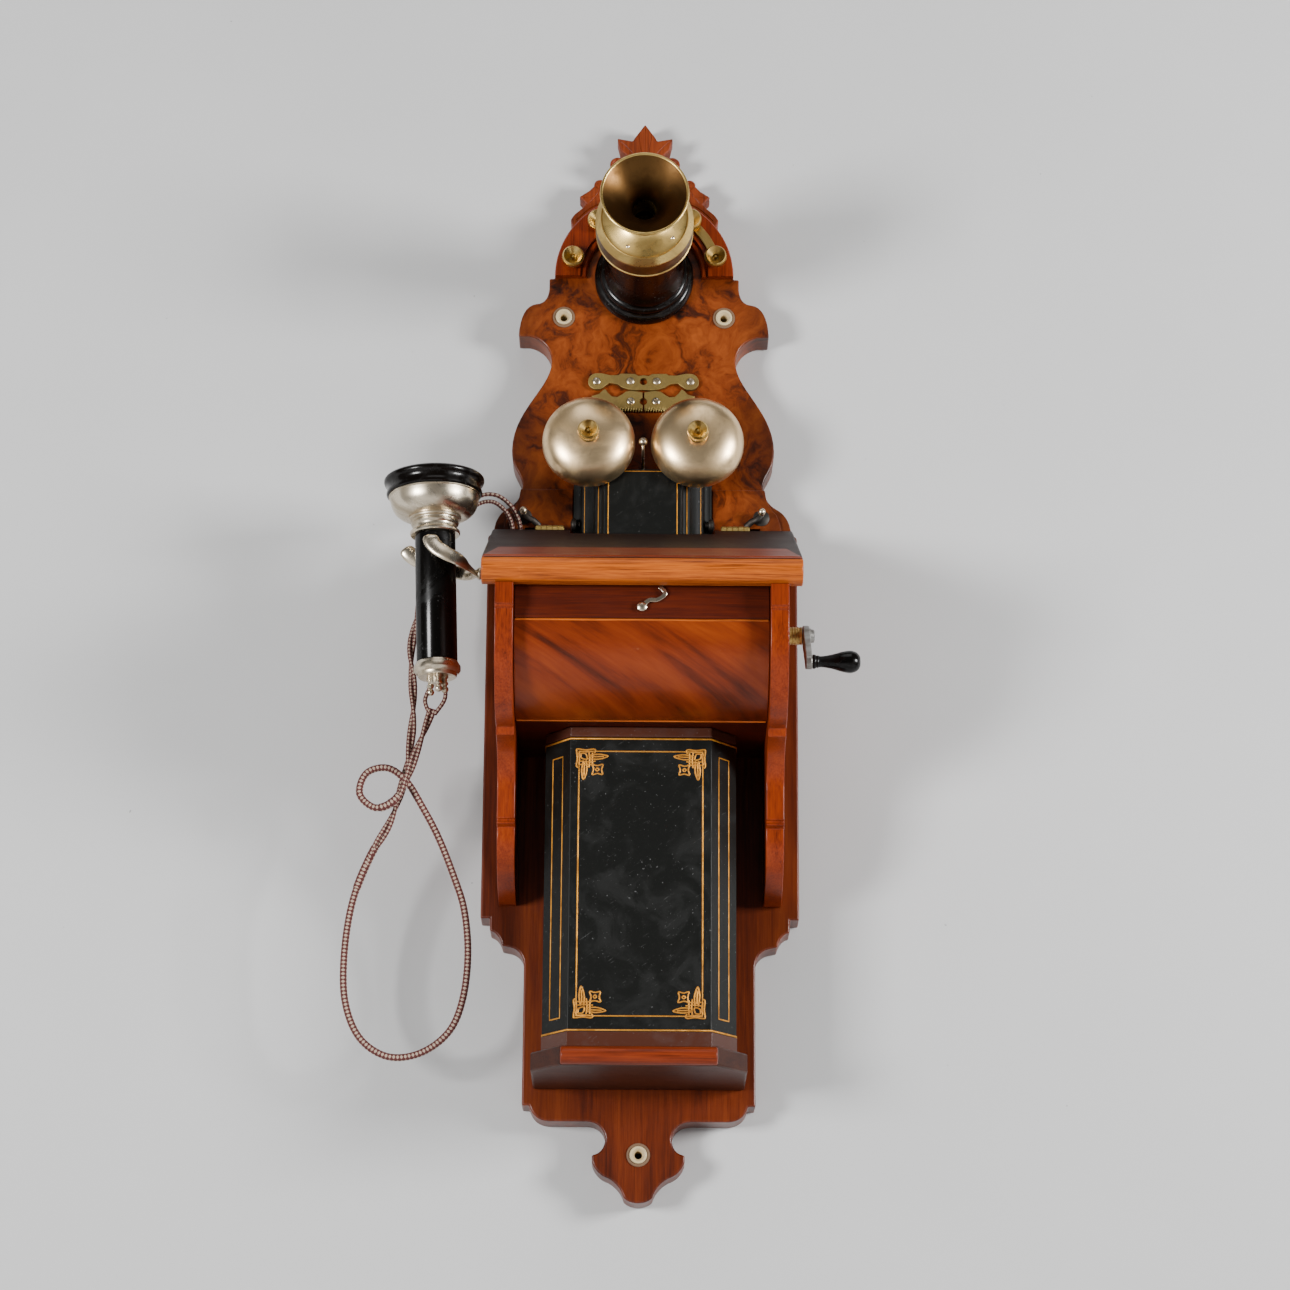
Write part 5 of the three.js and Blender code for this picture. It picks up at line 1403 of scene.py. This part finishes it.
def crank():
    shaft_low, shaft_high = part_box("crank_shaft")
    arm = span("crank_arm")
    axis_y = (shaft_low.y + shaft_high.y) / 2
    axis_z = (shaft_low.z + shaft_high.z) / 2
    axis = Vector((side_span.right * MM, axis_y, axis_z))
    gap = arm.left - side_span.right
    collar = [(4.2, 0.3), (6.6, 0.3), (6.6, 1.6), (5.9, 2)]
    for i in range(5):
        h = 2.4 + i * (gap - 4) / 5
        collar += [(5.9, h), (6.2, h + 0.3), (6.2, h + 0.8), (5.9, h + 1.1)]
    collar += [(6.2, gap - 0.5), (4.2, gap - 0.5)]
    hang(lathe("crank_collar", collar, axis, RIGHTWARD, steps=48), "crank", BRASS, "brass")
    grip_low, grip_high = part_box("crank_grip")
    grip_y = (grip_low.y + grip_high.y) / 2
    grip_z = (grip_low.z + grip_high.z) / 2
    out0, z0 = (BOARD_FACE - axis_y) / MM, axis_z / MM
    out1, z1 = (BOARD_FACE - grip_y) / MM, grip_z / MM
    tilt = math.degrees(math.atan2(z1 - z0, out1 - out0))
    strap = arc((out0, z0), 7, tilt + 90, tilt + 270, 16) + arc((out1, z1), 5.2, tilt - 90, tilt + 90, 16)
    plate = side_slab("strap", strap, arm.left, arm.left + 4.5, 0.6)
    boss = [(0, 0), (5.4, 0), (5.4, 1), (4.8, 1.6), (4.4, 3.4), (3.4, 4), (0, 4.2)]
    face = Vector(((arm.left + 4.2) * MM, axis_y, axis_z))
    nut = lathe("nut", boss, face, RIGHTWARD, steps=32)
    pin_face = Vector(((arm.left + 4) * MM, grip_y, grip_z))
    pin_length = (grip_high.x / MM) - arm.left - 8
    pin = lathe("pin", [(0, 0), (2.4, 0), (2.4, pin_length), (0, pin_length)], pin_face, RIGHTWARD, steps=24)
    hang(join("crank_strap", plate, nut, pin), "crank", STEEL, "steel", "crank_arm")
    r = (grip_high.z - grip_low.z) / 2 / MM
    length = (grip_high.x - grip_low.x) / MM
    shape = [(4.6, 0), (4.9, 1), (4.5, 2), (4, 2.4), (4.3, 3.2), (3.9, 4.2), (3.7, 6), (4.1, 9), (5.1, 14)]
    shape += [(6.6, 19), (r, 23.6), (r - 0.1, 26.6), (r - 1.5, 29.8), (r - 4, 31.6), (0.6, length - 0.02)]
    profile = [(2.9, 0)] + smooth(shape, 5) + [(0, length), (0, length - 1.5), (2.9, length - 1.5)]
    foot = Vector((grip_low.x, grip_y, grip_z))
    hang(lathe("handle", profile, foot, RIGHTWARD, steps=64), "grip", EBONITE, "ebonised", "crank_grip")


# ---- switch hook and receiver ------------------------------------------------------------------

RECEIVER_TILT = math.radians(2.2)
RECEIVER_X = -138.5
RECEIVER_OUT = 62
HOOK_PIVOT = (-56, 60)


def switch_hook():
    """The lever on its pivot, a beaded arm, and two flat prongs that pass either side of the handle."""
    x, z, out = HOOK_PIVOT[0], HOOK_PIVOT[1], RECEIVER_OUT
    arm_line = smooth([(x, out, z), (x - 24, out, z + 1), (x - 40, out, z + 1.2)], 8)
    arm = tube("arm", [at(*p) for p in arm_line], 3.2, 16)
    beads = []
    for i in range(61):
        t = i / 60
        radius = 2.3 + 2.6 * abs(math.sin(math.pi * 3 * t)) ** 1.4 * (1 - 0.25 * t)
        beads.append((at(x - 39 - 19 * t, out, z + 1.1 + 1.4 * t), radius))
    baluster = tube("beads", [p for p, r in beads], [r for p, r in beads], 24)
    prongs = []
    front_line = [(-113.5, 62, 62.5), (-117, 70, 63), (-120, 77, 64), (-125, 82.4, 66), (-132, 84, 69)]
    front_line += [(-139, 83.6, 73.4), (-143, 83, 78.4), (-143.8, 82.6, 83)]
    rear_line = [(-113, 62, 62.5), (-117, 53, 64), (-122, 45, 67), (-131, 41.4, 70.5), (-143, 41, 74)]
    rear_line += [(-153, 41.6, 77.5), (-160, 42.4, 82), (-163.5, 43, 87)]
    for hand, line in ((1, front_line), (-1, rear_line)):
        places = [at(*p) for p in smooth(line, 8)]
        last = len(places) - 1
        radii = [2.6 + 2.8 * math.sin(math.pi / 2 * min(1, i / last * 1.3)) for i in range(last + 1)]
        for back, share in enumerate((0.3, 0.62, 0.8, 0.9, 0.96)):
            radii[last - back] *= share
        facing = Vector((0, -hand, 0.2)).normalized()
        prongs.append(tube("prong", places, radii, 20, flat=0.36, facing=facing))
    pivot = lathe("pivot", [(0, -12), (3, -12), (3, 12), (0, 12)], at(x, out, z), steps=24)
    hang(join("fork", arm, baluster, pivot, *prongs), "hook", NICKEL, "nickel", "switch_hook")


RECEIVER_AXIS = Vector((-math.sin(RECEIVER_TILT), 0, math.cos(RECEIVER_TILT)))
RECEIVER_ACROSS = Vector((math.cos(RECEIVER_TILT), 0, math.sin(RECEIVER_TILT)))
RECEIVER_FOOT = at(RECEIVER_X, RECEIVER_OUT, 0)
STUD_PLACES = [(-5, 3), (5, -3), (1, -7)]  # the first two hold the cord's tails


def turned(name, profile, steps):
    """Something turned about the receiver's axis."""
    return lathe(name, profile, RECEIVER_FOOT, RECEIVER_AXIS, steps=steps)


def stud_foot(dx, dy):
    return RECEIVER_FOOT + RECEIVER_ACROSS * dx * MM + Vector((0, dy * MM, 0))


def handle_tube():
    body = [(0, -1.5), (13.6, -1.5), (13.9, -1), (13.9, 88.6), (13.4, 89.1), (0, 89.1)]
    hang(turned("barrel", body, 80), "receiver", EBONITE, "ebonised", "receiver_tube").name = "handle_tube"


def magnet_cup():
    cup = [(0, 89.4), (16.6, 89.4), (17.2, 90.2), (17.2, 91.6), (16.4, 92.6), (15.2, 93), (14.9, 94.2)]
    cup += [(15.2, 95.6), (16, 96.4), (16.4, 97.4), (16, 98.6), (16.2, 99.6), (17.8, 100.2), (18.2, 101.2)]
    cup += [(18, 102)]
    cup += bend([cup[-1], (26, 102.6), (30, 108), (30.6, 116.6)], 14)
    cup += [(31.4, 117), (31.4, 117.7), (28, 117.7), (28, 114), (0, 114)]
    hang(turned("cup", cup, 96), "receiver", NICKEL, "nickel", "receiver_cup").name = "magnet_cup"


def ear_cap():
    cap = [(27.5, 118), (32, 118), (32.8, 118.8), (32.9, 120)]
    cap += bend([cap[-1], (31.6, 123.4), (33.4, 126.2)], 6)
    cap += [(34.1, 126.8), (34.5, 128), (34.4, 129.2), (33.6, 130.2), (32, 130.9), (30.6, 131), (29.6, 130.4)]
    cap += bend([cap[-1], (20, 127.4), (7, 127.2)], 10)
    cap += [(5, 126.6), (5, 123), (27.5, 123)]
    hang(turned("earcap", cap, 96), "receiver", STAINED, "ebonised", "receiver_cap").name = "ear_cap"


def tail_cap():
    """The ferrule at the handle's end, with a ring and three ball-ended studs."""
    end = [(0, -12), (12.6, -12), (13.2, -11.2), (13.4, -9.6), (15, -8.8), (15.9, -7.4), (15.9, -4.6)]
    end += [(15.2, -3.4), (14.6, -2.6), (14.4, -1.8), (0, -1.8)]
    ferrule = turned("ferrule", end, 72)
    stud = [(0, -11.6), (2.6, -11.6), (2.6, -13.4), (1.7, -14), (1.7, -16), (2.5, -16.8), (2.5, -18)]
    stud += [(1.6, -18.8), (1.6, -19.8)] + [(max(r, 0), h) for r, h in arc((0, -21.4), 2.6, 40, -90, 8)]
    studs = [lathe("stud", stud, stud_foot(*spot), RECEIVER_AXIS, steps=28) for spot in STUD_PLACES]
    collar = turned("ring", [(0, -17), (4.6, -17), (5, -16.4), (5, -12), (0, -11.6)], 32)
    hang(join("tail_cap", ferrule, collar, *studs), "receiver", NICKEL, "nickel", "receiver_end")


def cord_tails():
    """The two short tails from the cord's end up to the studs."""
    tails = []
    for dx, dy in STUD_PLACES[:2]:
        top = stud_foot(dx, dy) + RECEIVER_AXIS * -17.4 * MM
        start = at(*CORD_ROUTE[-1]) - RECEIVER_AXIS * 4 * MM + RECEIVER_ACROSS * dx * 0.3 * MM
        waist = start.lerp(top, 0.5) + RECEIVER_ACROSS * dx * 0.7 * MM
        places = [Vector(p) for p in smooth([tuple(start), tuple(waist), tuple(top)], 8)]
        tails.append(tube("tail", places, CORD_DIAMETER * 0.3, 12))
    hang(join("cord_tails", *tails), "receiver", BRAID, "braid")


# ---- works inside ------------------------------------------------------------------------------


def works():
    finishes = {
        "box_bottom": RAIL, "magneto_base": RAIL, "magnet_1": STEEL, "magnet_2": STEEL, "magnet_3": STEEL,
        "bearing_plate_left": BRASS_DULL, "bearing_plate_right": BRASS_DULL, "armature": WOUND_X,
        "crank_shaft": STEEL, "induction_coil": WOUND_X, "contact_springs": BRASS, "ringer_coils": WOUND_Z,
        "carbon_capsule": STAINED, "battery_cell_left": ZINC, "battery_cell_right": ZINC,
    }
    for name, finish in finishes.items():
        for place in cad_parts[name].material_slots:
            place.material = finish


# ---- stage -------------------------------------------------------------------------------------


def stage():
    finish = Finish("Pale wall")
    mottle = finish.noise(finish.place, 3, 6, 0.6)
    flecks = finish.step(finish.noise(finish.place, 160, 2, 0.5), 0.78, 0.8)
    colour = finish.mix(mottle, (0.52, 0.52, 0.52), (0.6, 0.6, 0.6))
    finish.done(base_color=finish.mix(flecks * 0.6, colour, (0.2, 0.2, 0.2)), roughness=0.9)
    tree = finish.material.node_tree
    clear_glass = finish.nodes.new("ShaderNodeBsdfTransparent")
    choice = finish.nodes.new("ShaderNodeMixShader")
    back = finish.node("ShaderNodeNewGeometry", out="Backfacing")
    output = next(n for n in finish.nodes if n.type == "OUTPUT_MATERIAL")
    tree.links.new(back.port, choice.inputs[0])
    tree.links.new(finish.shader.outputs["BSDF"], choice.inputs[1])
    tree.links.new(clear_glass.outputs["BSDF"], choice.inputs[2])
    tree.links.new(choice.outputs[0], output.inputs["Surface"])
    clear()
    bpy.ops.mesh.primitive_plane_add(size=8, location=(0, 0.0008, 1.5), rotation=(math.pi / 2, 0, 0))
    wall = made("wall")
    bpy.ops.mesh.primitive_plane_add(size=12, location=(0, 0, -1.4))
    floor = made("floor")
    for surface in (wall, floor):
        surface.data.materials.append(finish.material)


def lamp(name, place, size, power):
    """A square lamp that faces the middle of the board."""
    bpy.ops.object.light_add(type="AREA", location=place)
    light = bpy.context.object
    light.name = name
    light.data.size = size
    light.data.energy = power
    light.rotation_euler = (-Vector(place)).to_track_quat("-Z", "Y").to_euler()


def lights():
    lamp("Left lamp", (-1.7, -1.9, -0.3), 0.6, 72)
    lamp("Right lamp", (1.9, -1.3, 0.1), 0.6, 74)
    lamp("Top lamp", (0, -1.6, 2.3), 1.6, 14)
    world = bpy.data.worlds.new("Room")
    world.use_nodes = True
    air = world.node_tree.nodes["Background"]
    air.inputs["Color"].default_value = (1, 1, 1, 1)
    air.inputs["Strength"].default_value = 0.12
    bpy.context.scene.world = world


camera()
cord()
backboard()
wall_bushes()
arch()
crest()
transmitter_pillar()
transmitter_cup()
horn()
face_screws()
terminals()
line_posts()
arrester()
gongs()
ringer_case()
ringer_gilding()
ringer_knobs()
clapper()
box_sides()
box_front()
lid()
hinges()
latch()
battery_case()
gilding()
battery_foot()
crank()
switch_hook()
handle_tube()
magnet_cup()
ear_cap()
tail_cap()
cord_tails()
works()
stage()
lights()
